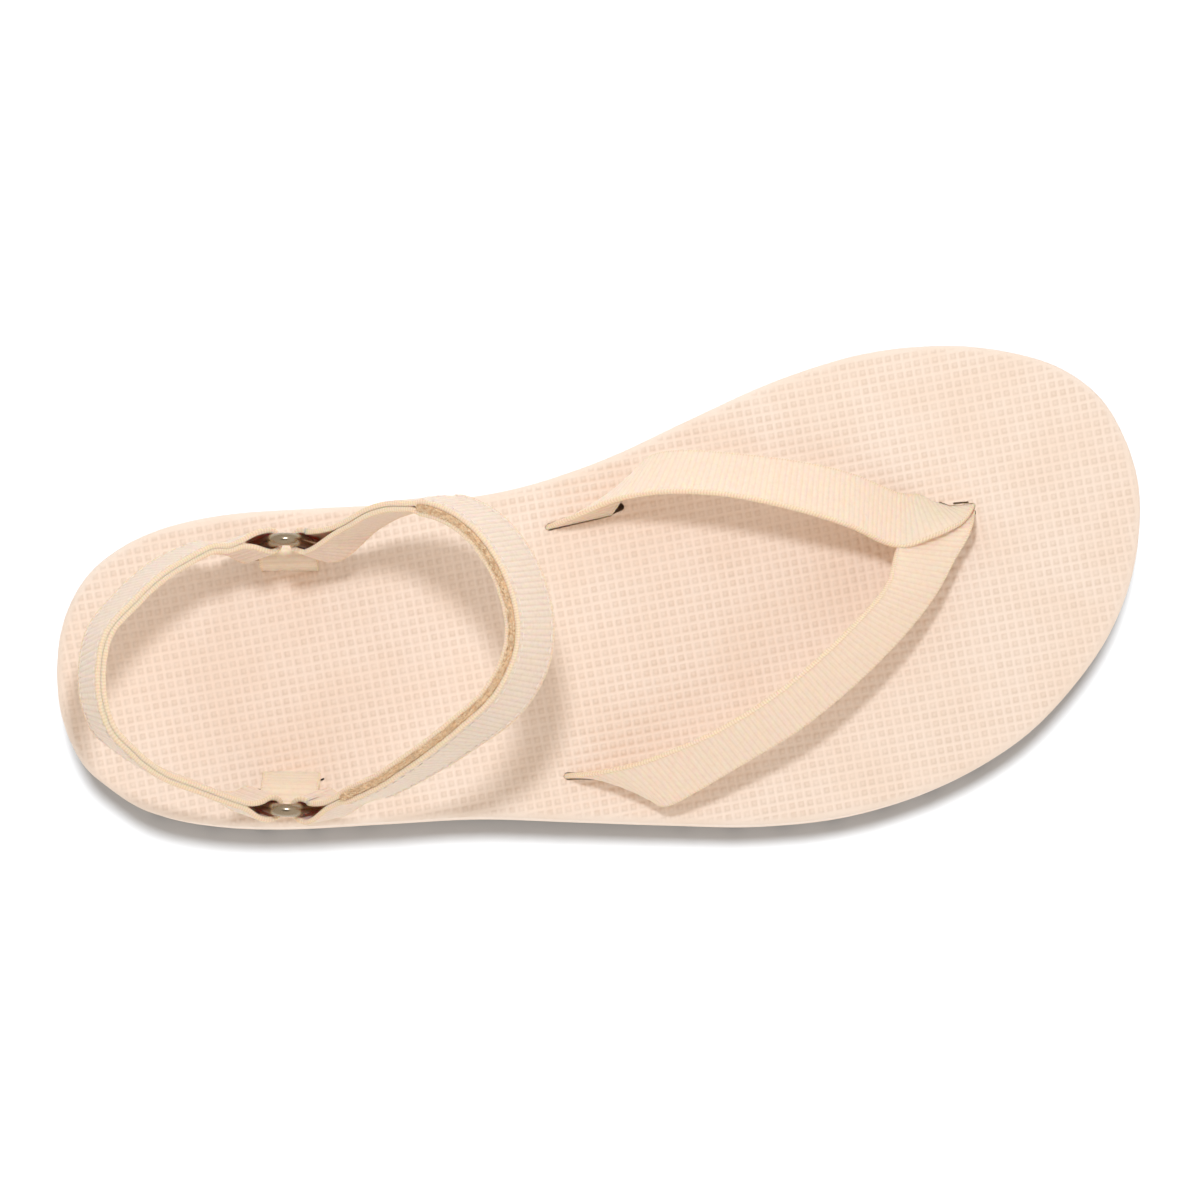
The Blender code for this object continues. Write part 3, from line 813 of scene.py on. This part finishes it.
def webbing_finish(name, light, shade, edge):
    """Ribbed webbing: yarns across each rib, painted shade in the valleys, and a warmer twisted edge with
    painted shade in its twist.
    """
    cloth = Finish(name)
    chart = cloth.node("ShaderNodeUVMap", {"uv_map": "cloth"})
    along = cloth.node("ShaderNodeSeparateXYZ", None, {"Vector": chart})
    across = along.also("Y")
    valley = abs(along.fraction() - 0.5).band(0.25, 0.5)
    yarns = (across * (2.0 * math.pi * YARNS_ACROSS) + along * math.pi).sine()
    slubs = cloth.noise(cloth.node("ShaderNodeTexCoord", output="Object"), SLUB_SCALE, 3.0)
    selvedge = abs(across - 0.5).band(0.455, 0.47)
    twist = (along * (2.0 * math.pi * RIB_STEPS / ROPE_STEPS) + across * ROPE_LEAN).sine() * 0.5 + 0.5
    # Painted shade darkens the rib valleys; the slubs vary the tone at random.
    body = cloth.mix(light, shade, valley * VALLEY_SHADE_SHARE + slubs.band(0.4, 0.75) * SLUB_SHARE)
    # Painted shade in the twist of the edge.
    rope = cloth.mix(edge, ROPE_SHADE, twist * ROPE_SHADE_SHARE)
    bump = cloth.node("ShaderNodeBump", None, {"Strength": 0.35, "Distance": WEB_RELIEF * MM,
                                               "Height": yarns * 0.35 + slubs * 0.6 - valley * 0.3})
    cloth.surface(Base_Color=cloth.mix(body, rope, selvedge), Roughness=0.78 + 0.12 * slubs,
                  Specular_IOR_Level=0.15, Specular_Tint=WEB_GLEAM, Sheen_Weight=0.08,
                  Sheen_Tint=WEB_SHEEN, Subsurface_Weight=0.5, Subsurface_Radius=WEB_GLOW,
                  Subsurface_Scale=WEB_GLOW_DEPTH * MM, Normal=bump)
    return cloth.material


THONG_LIGHT = (0.905, 0.745, 0.600)
THONG_SHADE = (0.80, 0.625, 0.475)
THONG_EDGE = (0.90, 0.735, 0.575)
thong_cloth = webbing_finish("thong_webbing", THONG_LIGHT, THONG_SHADE, THONG_EDGE)
for leg_name, leg_rows in (("thong_inner_leg", INNER_LEG), ("thong_outer_leg", OUTER_LEG)):
    leg_mesh = lay_webbing(leg_name, leg_frames(leg_rows, LEG_STEPS), False)
    piece(leg_mesh, thong_cloth, "webbing", "thong_strap")

# Rings
# Round steel wire bent into a triangle with rounded corners, its ends welded shut, then
# plated with bright nickel. Each side of a ring carries one strap.
WIRE_CORNERS = 20
WIRE_BEND_STEPS = 14
WIRE_BEND = 120.0
# The nickel colour is a painted reflection: dark and brown for the straps and dark space round the ring.
NICKEL_PAINTED_REFLECTION = (0.36, 0.285, 0.20)
NICKEL_DULL = (0.24, 0.18, 0.115)
DULL_SPOT_SCALE = 700.0
DRAWING_MARK_SCALE = 5200.0
DRAWING_MARK_RELIEF = 0.05


def ring_frames(side):
    """Frames round the bent wire of a ring."""
    bar, along, rise, _ = ring_frame(side)
    reach = RING_CORNER / math.tan(math.radians(30))
    bends = ((0.5 * RING_SIDE - reach, RING_CORNER, -90.0),
             (0.0, RING_SIDE * math.sqrt(0.75) - 2 * RING_CORNER, 30.0),
             (-0.5 * RING_SIDE + reach, RING_CORNER, 150.0))
    through = along.cross(rise)
    frames = []
    for sideways, up, first in bends:
        for step in range(WIRE_BEND_STEPS + 1):
            turn = math.radians(first + WIRE_BEND * step / WIRE_BEND_STEPS)
            outward = along * math.cos(turn) + rise * math.sin(turn)
            centre = bar + along * sideways + rise * up + outward * RING_CORNER
            frames.append((centre, outward, through, 0.5 * RING_WIRE))
    return frames


def wire_section(step, corner, radius):
    """Round wire: offsets across and through, and the share round it."""
    turn = 2.0 * math.pi * corner / WIRE_CORNERS
    return radius * math.cos(turn), radius * math.sin(turn), corner / WIRE_CORNERS


def nickel_finish():
    """Plated wire in a dark warm colour, a painted reflection of the straps round it, with faint drawing
    marks and a few dull spots.
    """
    metal = Finish("nickel_wire")
    place = metal.node("ShaderNodeTexCoord", output="Object")
    dull = metal.noise(place, DULL_SPOT_SCALE, 3.0).band(0.55, 0.8)
    marks = metal.noise(place, DRAWING_MARK_SCALE, 2.0)
    bump = metal.node("ShaderNodeBump", None, {"Strength": 0.05, "Distance": DRAWING_MARK_RELIEF * MM,
                                               "Height": marks})
    metal.surface(Base_Color=metal.mix(NICKEL_PAINTED_REFLECTION, NICKEL_DULL, dull), Metallic=1.0,
                  Roughness=0.24 + 0.14 * dull, Normal=bump)
    return metal.material


nickel = nickel_finish()
for ring_side_name in RINGS:
    wire = lay_along("ring_wire_" + ring_side_name, ring_frames(ring_side_name),
                     WIRE_CORNERS, wire_section, True)
    piece(wire, nickel, "nickel", "ring_" + ring_side_name)

# Anchor tabs
# Short lengths of the same webbing, folded in half round the lower bar of a ring. Both ends
# go down together through a slit in the footbed and are held in the foam.
EYE_GAP = 0.4
EYE_STEPS = 20
RUN_SPACING = 0.6


def loop_frames(path, layer_gap, eyes, width):
    """Frames of a band of webbing that runs out along a path and back, round what is at each end."""
    ring_offset = 0.5 * (RING_WIRE + WEB_THICK) + EYE_GAP

    def offset(run):
        flat = 0.5 * (layer_gap(run) + WEB_THICK)
        value = flat
        for from_end, eye in ((run, eyes[0]), (path.length - run, eyes[1])):
            if eye:
                value += (ring_offset - flat) * (1.0 - ease(from_end / eye))
        return value

    end_offsets = [offset(0.0), offset(path.length)]
    count = round(path.length / RUN_SPACING)
    runs = [path.length * i / count for i in range(count + 1)]
    line = [(run, offset(run)) for run in runs]
    for step in range(1, EYE_STEPS):
        turn = math.pi * step / EYE_STEPS
        line.append((path.length + end_offsets[1] * math.sin(turn), end_offsets[1] * math.cos(turn)))
    line += [(run, -offset(run)) for run in reversed(runs)]
    for step in range(1, EYE_STEPS):
        turn = math.pi * step / EYE_STEPS
        line.append((-end_offsets[0] * math.sin(turn), -end_offsets[0] * math.cos(turn)))

    frames = []
    for i, (run, out_by) in enumerate(line):
        ahead = line[(i + 1) % len(line)]
        behind = line[i - 1]
        way = Vector((ahead[0] - behind[0], ahead[1] - behind[1])).normalized()
        point, along, up, out = path.frame(run)
        through = out * way.x - along * way.y
        frames.append((point + out * out_by, up, through, 0.5 * width(run)))
    return frames


for ring_side_name in RINGS:
    tab_frames = loop_frames(tab_path(ring_side_name), lambda run: TAB_LAYER_GAP,
                             (TAB_EYE_LENGTH, 0.0), lambda run: LOOP_WIDTH)
    tab_mesh = lay_webbing("tab_webbing_" + ring_side_name, tab_frames, True)
    piece(tab_mesh, thong_cloth, "webbing", "anchor_tab_" + ring_side_name)

# Heel strap
# One length of webbing folded back on itself, with an eye round each ring, and sewn through
# both layers near its two edges. It runs behind the heel and leans in over it.
HEEL_STRAP = (
    # x, y, height over the footbed, inward lean
    (-84.3, 34.0, 23.9, 10.0),
    (-89.4, 34.5, 26.7, 12.0),
    (-98.8, 31.3, 31.4, 17.0),
    (-107.3, 25.8, 36.8, 19.0),
    (-115.0, 18.4, 41.8, 19.0),
    (-118.4, 8.0, 43.8, 19.0),
    (-118.0, -1.6, 42.6, 16.0),
    (-114.2, -8.2, 38.6, 8.0),
    (-108.0, -14.5, 33.2, 1.0),
    (-99.4, -20.1, 28.0, 0.0),
)
HEEL_LAYER_GAP = 0.0
HEEL_EYES = (8.0, 8.0)
RING_FRAME_REACH = 20.0
LOOP_STRAIGHT = 4.0
DRAWN_IN_FROM = 3.0
DRAWN_IN_LENGTH = 21.0
STITCH_PITCH = 2.6
STITCH_LENGTH = 2.1
STITCH_THREAD = 0.34
STITCH_FROM_EYE = 2.5
STITCH_ACROSS = (-0.80, 0.78)
STITCH_SIDES = 6
STITCH_RINGS = 5
# The ankle colours are a darker copy of the thong webbing: painted shade for the dimmer light on the ankle
# straps.
ANKLE_LIGHT = (0.860, 0.695, 0.580)
ANKLE_SHADE = (0.71, 0.540, 0.420)
ANKLE_EDGE = (0.87, 0.690, 0.530)
THREAD = (0.92, 0.82, 0.72)
THREAD_TWIST_SCALE = 2400.0
THREAD_RELIEF = 0.08


def ring_side(side, towards_toe):
    """Middle of a ring's upper side, the way a strap leaves it, and the way up that side."""
    bar, along, rise, _ = ring_frame(side)
    forward = along if towards_toe else -along
    middle = bar + forward * (0.25 * RING_SIDE) + rise * (0.25 * RING_SIDE * math.sqrt(3.0))
    leave = forward * math.sqrt(0.75) + rise * 0.5
    up_side = rise * math.sqrt(0.75) - forward * 0.5
    return middle, leave, up_side


def ankle_path(rows, first, last):
    """Path of an ankle strap between two ring sides, through its own rows."""
    (first_at, first_way, first_up), (last_at, last_way, last_up) = first, last
    points = [first_at, first_at + first_way * LOOP_STRAIGHT]
    points += [Vector((x, y, footbed(x, y) + height)) for x, y, height, _ in rows]
    points += [last_at + last_way * LOOP_STRAIGHT, last_at]
    leans = [row[3] for row in rows]
    leans = [leans[0]] * 2 + leans + [leans[-1]] * 2
    return StrapPath(points, leans, first_up, last_up, RING_FRAME_REACH)


def drawn_width(path):
    """Width of an ankle strap at a run, drawn in a little where it passes round a ring."""
    def width(run):
        from_ring = min(run, path.length - run)
        return LOOP_WIDTH + (WEB_WIDTH - LOOP_WIDTH) * ease((from_ring - DRAWN_IN_FROM) / DRAWN_IN_LENGTH)

    return width


def heel_gap(run):
    """Gap between the two layers of the heel strap, sewn close all along."""
    return HEEL_LAYER_GAP


def stitching(name, path, layer_gap, eyes):
    """Rows of thread on a doubled strap's outer face, between its eyes, each stitch a short spindle."""
    bm = bmesh.new()
    first = eyes[0] + STITCH_FROM_EYE
    count = int((path.length - eyes[1] - STITCH_FROM_EYE - first) / STITCH_PITCH)
    for share in STITCH_ACROSS:
        for i in range(count):
            run = first + (i + 0.5) * STITCH_PITCH
            point, along, up, out = path.frame(run)
            centre = point + up * (0.5 * WEB_WIDTH * share) + out * (0.5 * layer_gap(run) + WEB_THICK)
            turn = Matrix((along, up, out)).transposed().to_4x4()
            size = Matrix.Diagonal((0.5 * STITCH_LENGTH, 0.5 * STITCH_THREAD, 0.5 * STITCH_THREAD, 1.0))
            scale = Matrix.Diagonal((MM, MM, MM, 1.0))
            bmesh.ops.create_uvsphere(bm, u_segments=STITCH_SIDES, v_segments=STITCH_RINGS, radius=1.0,
                                      matrix=scale @ Matrix.Translation(centre) @ turn @ size)
    return mesh_of(bm, name)


def thread_finish():
    """Spun sewing thread."""
    thread = Finish("sewing_thread")
    place = thread.node("ShaderNodeTexCoord", output="Object")
    twist = thread.noise(place, THREAD_TWIST_SCALE, 2.0)
    bump = thread.node("ShaderNodeBump", None, {"Strength": 0.4, "Distance": THREAD_RELIEF * MM,
                                                "Height": twist})
    thread.surface(Base_Color=thread.mix(THREAD, ANKLE_LIGHT, twist), Roughness=0.7, Normal=bump)
    return thread.material


ankle_cloth_shaded = webbing_finish("ankle_webbing_shaded", ANKLE_LIGHT, ANKLE_SHADE, ANKLE_EDGE)
sewing_thread = thread_finish()
heel_path = ankle_path(HEEL_STRAP, ring_side("inner", False), ring_side("outer", False))
heel_frames = loop_frames(heel_path, heel_gap, HEEL_EYES, drawn_width(heel_path))
piece(lay_webbing("heel_webbing", heel_frames, True), ankle_cloth_shaded, "webbing", "heel_strap")
piece(stitching("heel_stitching", heel_path, heel_gap, HEEL_EYES), sewing_thread, "webbing")

# Instep strap
# The same webbing doubled over the instep, with an eye round each ring. Its outer layer lies on
# the inner one and is held to it by hook-and-loop tape, so the two stand a little apart.
INSTEP_STRAP = (
    # x, y, height over the footbed, inward lean
    (-57.2, -27.0, 33.4, 9.0),
    (-47.7, -23.8, 40.8, 14.0),
    (-37.3, -19.2, 47.2, 19.0),
    (-27.0, -13.5, 52.2, 25.0),
    (-20.4, -6.2, 54.8, 29.0),
    (-17.4, 1.6, 55.6, 30.0),
    (-17.2, 10.2, 55.0, 30.0),
    (-19.2, 18.9, 53.0, 29.0),
    (-23.4, 26.8, 49.8, 25.0),
    (-29.6, 32.4, 45.2, 17.0),
    (-37.2, 35.2, 39.6, 6.0),
    (-45.6, 35.0, 33.6, -8.0),
)
INSTEP_LAYER_GAP = 1.5
INSTEP_BARE_GAP = 0.12
INSTEP_EYES = (11.0, 15.0)
TAPE_START = 16.0
TAPE_END = 39.0
TAPE_RAMP = 3.5
TAPE_END_OPEN = 0.6

instep_path = ankle_path(INSTEP_STRAP, ring_side("outer", True), ring_side("inner", True))


def instep_gap(run):
    """Gap between the layers of the instep strap, held open where the tape lies between them."""
    from_start = ease((run - TAPE_START) / TAPE_RAMP + TAPE_END_OPEN)
    from_end = ease((instep_path.length - TAPE_END - run) / TAPE_RAMP + TAPE_END_OPEN)
    return INSTEP_BARE_GAP + (INSTEP_LAYER_GAP - INSTEP_BARE_GAP) * from_start * from_end


instep_frames = loop_frames(instep_path, instep_gap, INSTEP_EYES, drawn_width(instep_path))
piece(lay_webbing("instep_webbing", instep_frames, True), ankle_cloth_shaded, "webbing", "instep_strap")
piece(stitching("instep_stitching", instep_path, instep_gap, INSTEP_EYES), sewing_thread, "webbing")

# Hook-and-loop tape
# Woven tan tape with a pile of small loops, caught between the two layers of the instep strap.
# Its fuzzy edge fills the gap along the top of the strap.
TAPE_WIDTH = 16.4
TAPE_THICK = 1.3
TAPE_SPACING = 1.0
TAPE_CORNERS = (
    # share of the half width, share of the half thickness
    (1.0, 0.4), (0.96, 1.0), (-0.96, 1.0), (-1.0, 0.4),
    (-1.0, -0.4), (-0.96, -1.0), (0.96, -1.0), (1.0, -0.4),
)
PILE_COUNT = 3000
PILE_RADIUS = (0.17, 0.32)
PILE_THREAD = 0.36
PILE_THREAD_SIDES = 3
PILE_LOOP_TURN = 200.0
PILE_LOOP_STEPS = 5
PILE_TILT = 1.2
PILE_DEEP = 8.05
PILE_HIGH = 8.5
PILE_SPREAD = 0.74
PILE_TOP_SHARE = 0.9
PILE_LOWER_IN = 0.35
PILE_SEED = 7
TAPE_TAN = (0.97, 0.70, 0.44)
TAPE_PALE = (0.99, 0.84, 0.62)
TAPE_DARK = (0.60, 0.33, 0.14)
TAPE_DARK_SHARE = 0.45
LUMP_SCALE = 1300.0
LUMP_RELIEF = 0.3


def tape_section(step, corner, half_width):
    """Flat tape: offsets across and through, and the share across."""
    share, thick = TAPE_CORNERS[corner]
    return share * half_width, thick * 0.5 * TAPE_THICK, 0.5 + 0.5 * share


def tape_frames(path):
    """Frames along the middle of the instep strap, where the tape lies."""
    length = path.length - TAPE_START - TAPE_END
    count = round(length / TAPE_SPACING)
    frames = []
    for i in range(count + 1):
        point, _, up, out = path.frame(TAPE_START + length * i / count)
        frames.append((point, up, out, 0.5 * TAPE_WIDTH))
    return frames


def pile_loop():
    """One loop of pile thread, a little over half a turn, with its ends closed."""
    bm = bmesh.new()
    thread = bmesh.ops.create_circle(bm, segments=PILE_THREAD_SIDES, radius=PILE_THREAD)["verts"]
    bmesh.ops.rotate(bm, verts=thread, cent=(0, 0, 0), matrix=Matrix.Rotation(math.radians(90), 3, "X"))
    bmesh.ops.translate(bm, verts=thread, vec=(1.0, 0.0, 0.0))
    bmesh.ops.spin(bm, geom=bm.verts[:] + bm.edges[:], cent=(0, 0, 0), axis=(0, 0, 1),
                   angle=math.radians(PILE_LOOP_TURN), steps=PILE_LOOP_STEPS)
    bmesh.ops.holes_fill(bm, edges=bm.edges, sides=0)
    bmesh.ops.recalc_face_normals(bm, faces=bm.faces)
    return mesh_of(bm, "pile_loop")


def pile(path):
    """Loops of pile crowded along the top edge of the tape, with a few along its lower edge."""
    draw = random.Random(PILE_SEED)
    template = pile_loop()
    bm = bmesh.new()
    tone = bm.verts.layers.float.new("tone")
    length = path.length - TAPE_START - TAPE_END
    for i in range(PILE_COUNT):
        point, along, up, out = path.frame(TAPE_START + length * draw.random())
        edge = 1.0 if draw.random() < PILE_TOP_SHARE else -1.0
        reach = draw.uniform(PILE_DEEP, PILE_HIGH) - (PILE_LOWER_IN if edge < 0.0 else 0.0)
        centre = point + up * (edge * reach) + out * draw.uniform(-PILE_SPREAD, PILE_SPREAD)
        spin = Matrix.Rotation(draw.uniform(0.0, 2.0 * math.pi), 4, "Z")
        tilt = Matrix.Rotation(draw.uniform(-PILE_TILT, PILE_TILT), 4, "X")
        frame_turn = Matrix((along, up * edge, out * edge)).transposed().to_4x4()
        size = draw.uniform(*PILE_RADIUS)
        before = len(bm.verts)
        bm.from_mesh(template)
        bm.verts.ensure_lookup_table()
        made = bm.verts[before:]
        shade = draw.random()
        for vert in made:
            vert[tone] = shade
        bmesh.ops.transform(bm, verts=made, matrix=(
            Matrix.Diagonal((MM, MM, MM, 1.0)) @ Matrix.Translation(centre) @ frame_turn @ tilt @ spin
            @ Matrix.Diagonal((size, size, size, 1.0))))
    bpy.data.meshes.remove(template)
    return mesh_of(bm, "tape_pile")


def tape_finish(name):
    """Fuzzy tan pile: every loop has its own tone."""
    fuzz = Finish(name)
    place = fuzz.node("ShaderNodeTexCoord", output="Object")
    tone = fuzz.node("ShaderNodeAttribute", {"attribute_name": "tone"}, output="Fac")
    lumps = fuzz.noise(place, LUMP_SCALE, 3.0)
    warm = fuzz.mix(TAPE_TAN, TAPE_PALE, tone)
    colour = fuzz.mix(warm, TAPE_DARK, lumps.band(0.46, 0.62) * TAPE_DARK_SHARE)
    bump = fuzz.node("ShaderNodeBump", None, {"Strength": 0.6, "Distance": LUMP_RELIEF * MM,
                                              "Height": lumps})
    fuzz.surface(Base_Color=colour, Roughness=0.9, Specular_IOR_Level=0.1, Normal=bump)
    return fuzz.material


tape_cloth = tape_finish("hook_and_loop")
tape_mesh = lay_along("hook_and_loop_tape", tape_frames(instep_path),
                      len(TAPE_CORNERS), tape_section, False)
piece(tape_mesh, tape_cloth, "hook_tape", "closure_tape")
piece(pile(instep_path), tape_cloth, "hook_tape")

# Floor, light and camera
# A plain pale floor in a bright room, which is brightest towards the outer side and the toe and
# darker straight overhead. One soft key light falls on the shoe, and another lights the floor to
# white except where the sole shades it. The camera looks down on the shoe, almost from straight above.
FLOOR_SIZE = 8.0
FLOOR_PALE = (0.53, 0.54, 0.555)
SKY_BRIGHT = (0.91, 0.862, 0.805)
SKY_DIM = (0.755, 0.715, 0.668)
SKY_OVERHEAD = (0.12, 0.11, 0.10)
SKY_TO_TOE = 0.6
SKY_TO_OUTER_SIDE = 0.8
SKY_SIDE_DIM = -0.9
SKY_SIDE_BRIGHT = 0.7
OVERHEAD_FROM = math.cos(math.radians(26.0))
OVERHEAD_FULL = math.cos(math.radians(12.0))
STUDIO_LIGHTS = (
    # name, place, aim, width, power, colour
    ("key", (-5.0, 176.0, 595.0), (0.0, 0.0, 35.0), 66.0, 1.35, (0.92, 0.975, 1.05)),
    ("floor_key", (134.0, 738.0, 5000.0), (0.0, 0.0, 0.0), 600.0, 385.0, (0.97, 1.0, 1.02)),
)
PHOTO_PIXELS = 1200
MM_PER_PIXEL = 0.2359
CAMERA_DISTANCE = 1700.0
CAMERA_AIM = (-0.135, 7.049, 33.5)
CAMERA_ROLL = 10.3
CAMERA_TILT = 1.5
SENSOR = 36.0

floor_bm = bmesh.new()
bmesh.ops.create_grid(floor_bm, x_segments=1, y_segments=1, size=0.5 * FLOOR_SIZE)
floor = bpy.data.objects.new("floor", mesh_of(floor_bm, "floor"))
bpy.context.scene.collection.objects.link(floor)
floor_finish = Finish("floor_pale")
floor_finish.surface(Base_Color=FLOOR_PALE, Roughness=0.9, Specular_IOR_Level=0.1)
floor.data.materials.append(floor_finish.material)

world = bpy.data.worlds.new("studio")
bpy.context.scene.world = world
sky = Mixture(world)
sky_height = sky.node("ShaderNodeSeparateXYZ", None,
                      {"Vector": sky.node("ShaderNodeTexCoord", output="Generated")}, output="Z")
sky_side = sky_height.also("X") * SKY_TO_TOE - sky_height.also("Y") * SKY_TO_OUTER_SIDE
sky_colour = sky.mix(SKY_DIM, SKY_BRIGHT, sky_side.band(SKY_SIDE_DIM, SKY_SIDE_BRIGHT))
sky_colour = sky.mix(sky_colour, SKY_OVERHEAD, sky_height.band(OVERHEAD_FROM, OVERHEAD_FULL))
sky.feed(sky.tree.nodes["Background"].inputs["Color"], sky_colour)

floor_alone = bpy.data.collections.new("floor_alone")
floor_alone.objects.link(floor)
all_but_floor = bpy.data.collections.new("all_but_floor")
all_but_floor.objects.link(floor)
all_but_floor.collection_objects[0].light_linking.link_state = "EXCLUDE"
sole_alone = bpy.data.collections.new("sole_alone")
sole_alone.objects.link(sole)
LIGHT_FALLS_ON = {"key": (all_but_floor, None), "floor_key": (floor_alone, sole_alone)}

for light_name, place, aim, width, power, colour in STUDIO_LIGHTS:
    light = bpy.data.lights.new(light_name, "AREA")
    light.shape = "DISK"
    light.size = width * MM
    light.energy = power
    light.color = colour
    lamp = bpy.data.objects.new(light_name, light)
    lamp.location = Vector(place) * MM
    lamp.rotation_euler = (Vector(place) - Vector(aim)).to_track_quat("Z", "Y").to_euler()
    lamp.visible_camera = False
    lit, shading = LIGHT_FALLS_ON[light_name]
    lamp.light_linking.receiver_collection = lit
    lamp.light_linking.blocker_collection = shading
    bpy.context.scene.collection.objects.link(lamp)

roll = math.radians(CAMERA_ROLL)
tilt_angle = math.radians(CAMERA_TILT)
right = Vector((math.cos(roll), -math.sin(roll), 0.0))
ahead = Vector((math.sin(roll), math.cos(roll), 0.0))
back = UP * math.cos(tilt_angle) - ahead * math.sin(tilt_angle)
eye = Vector(CAMERA_AIM) + back * CAMERA_DISTANCE
lens = bpy.data.cameras.new("camera")
lens.sensor_width = SENSOR
lens.lens = SENSOR * CAMERA_DISTANCE / (PHOTO_PIXELS * MM_PER_PIXEL)
camera = bpy.data.objects.new("camera", lens)
turn = Matrix((right, back.cross(right), back)).transposed().to_4x4()
camera.matrix_world = Matrix.Translation(eye * MM) @ turn
bpy.context.scene.collection.objects.link(camera)
bpy.context.scene.camera = camera
bpy.context.scene.view_settings.view_transform = "Standard"
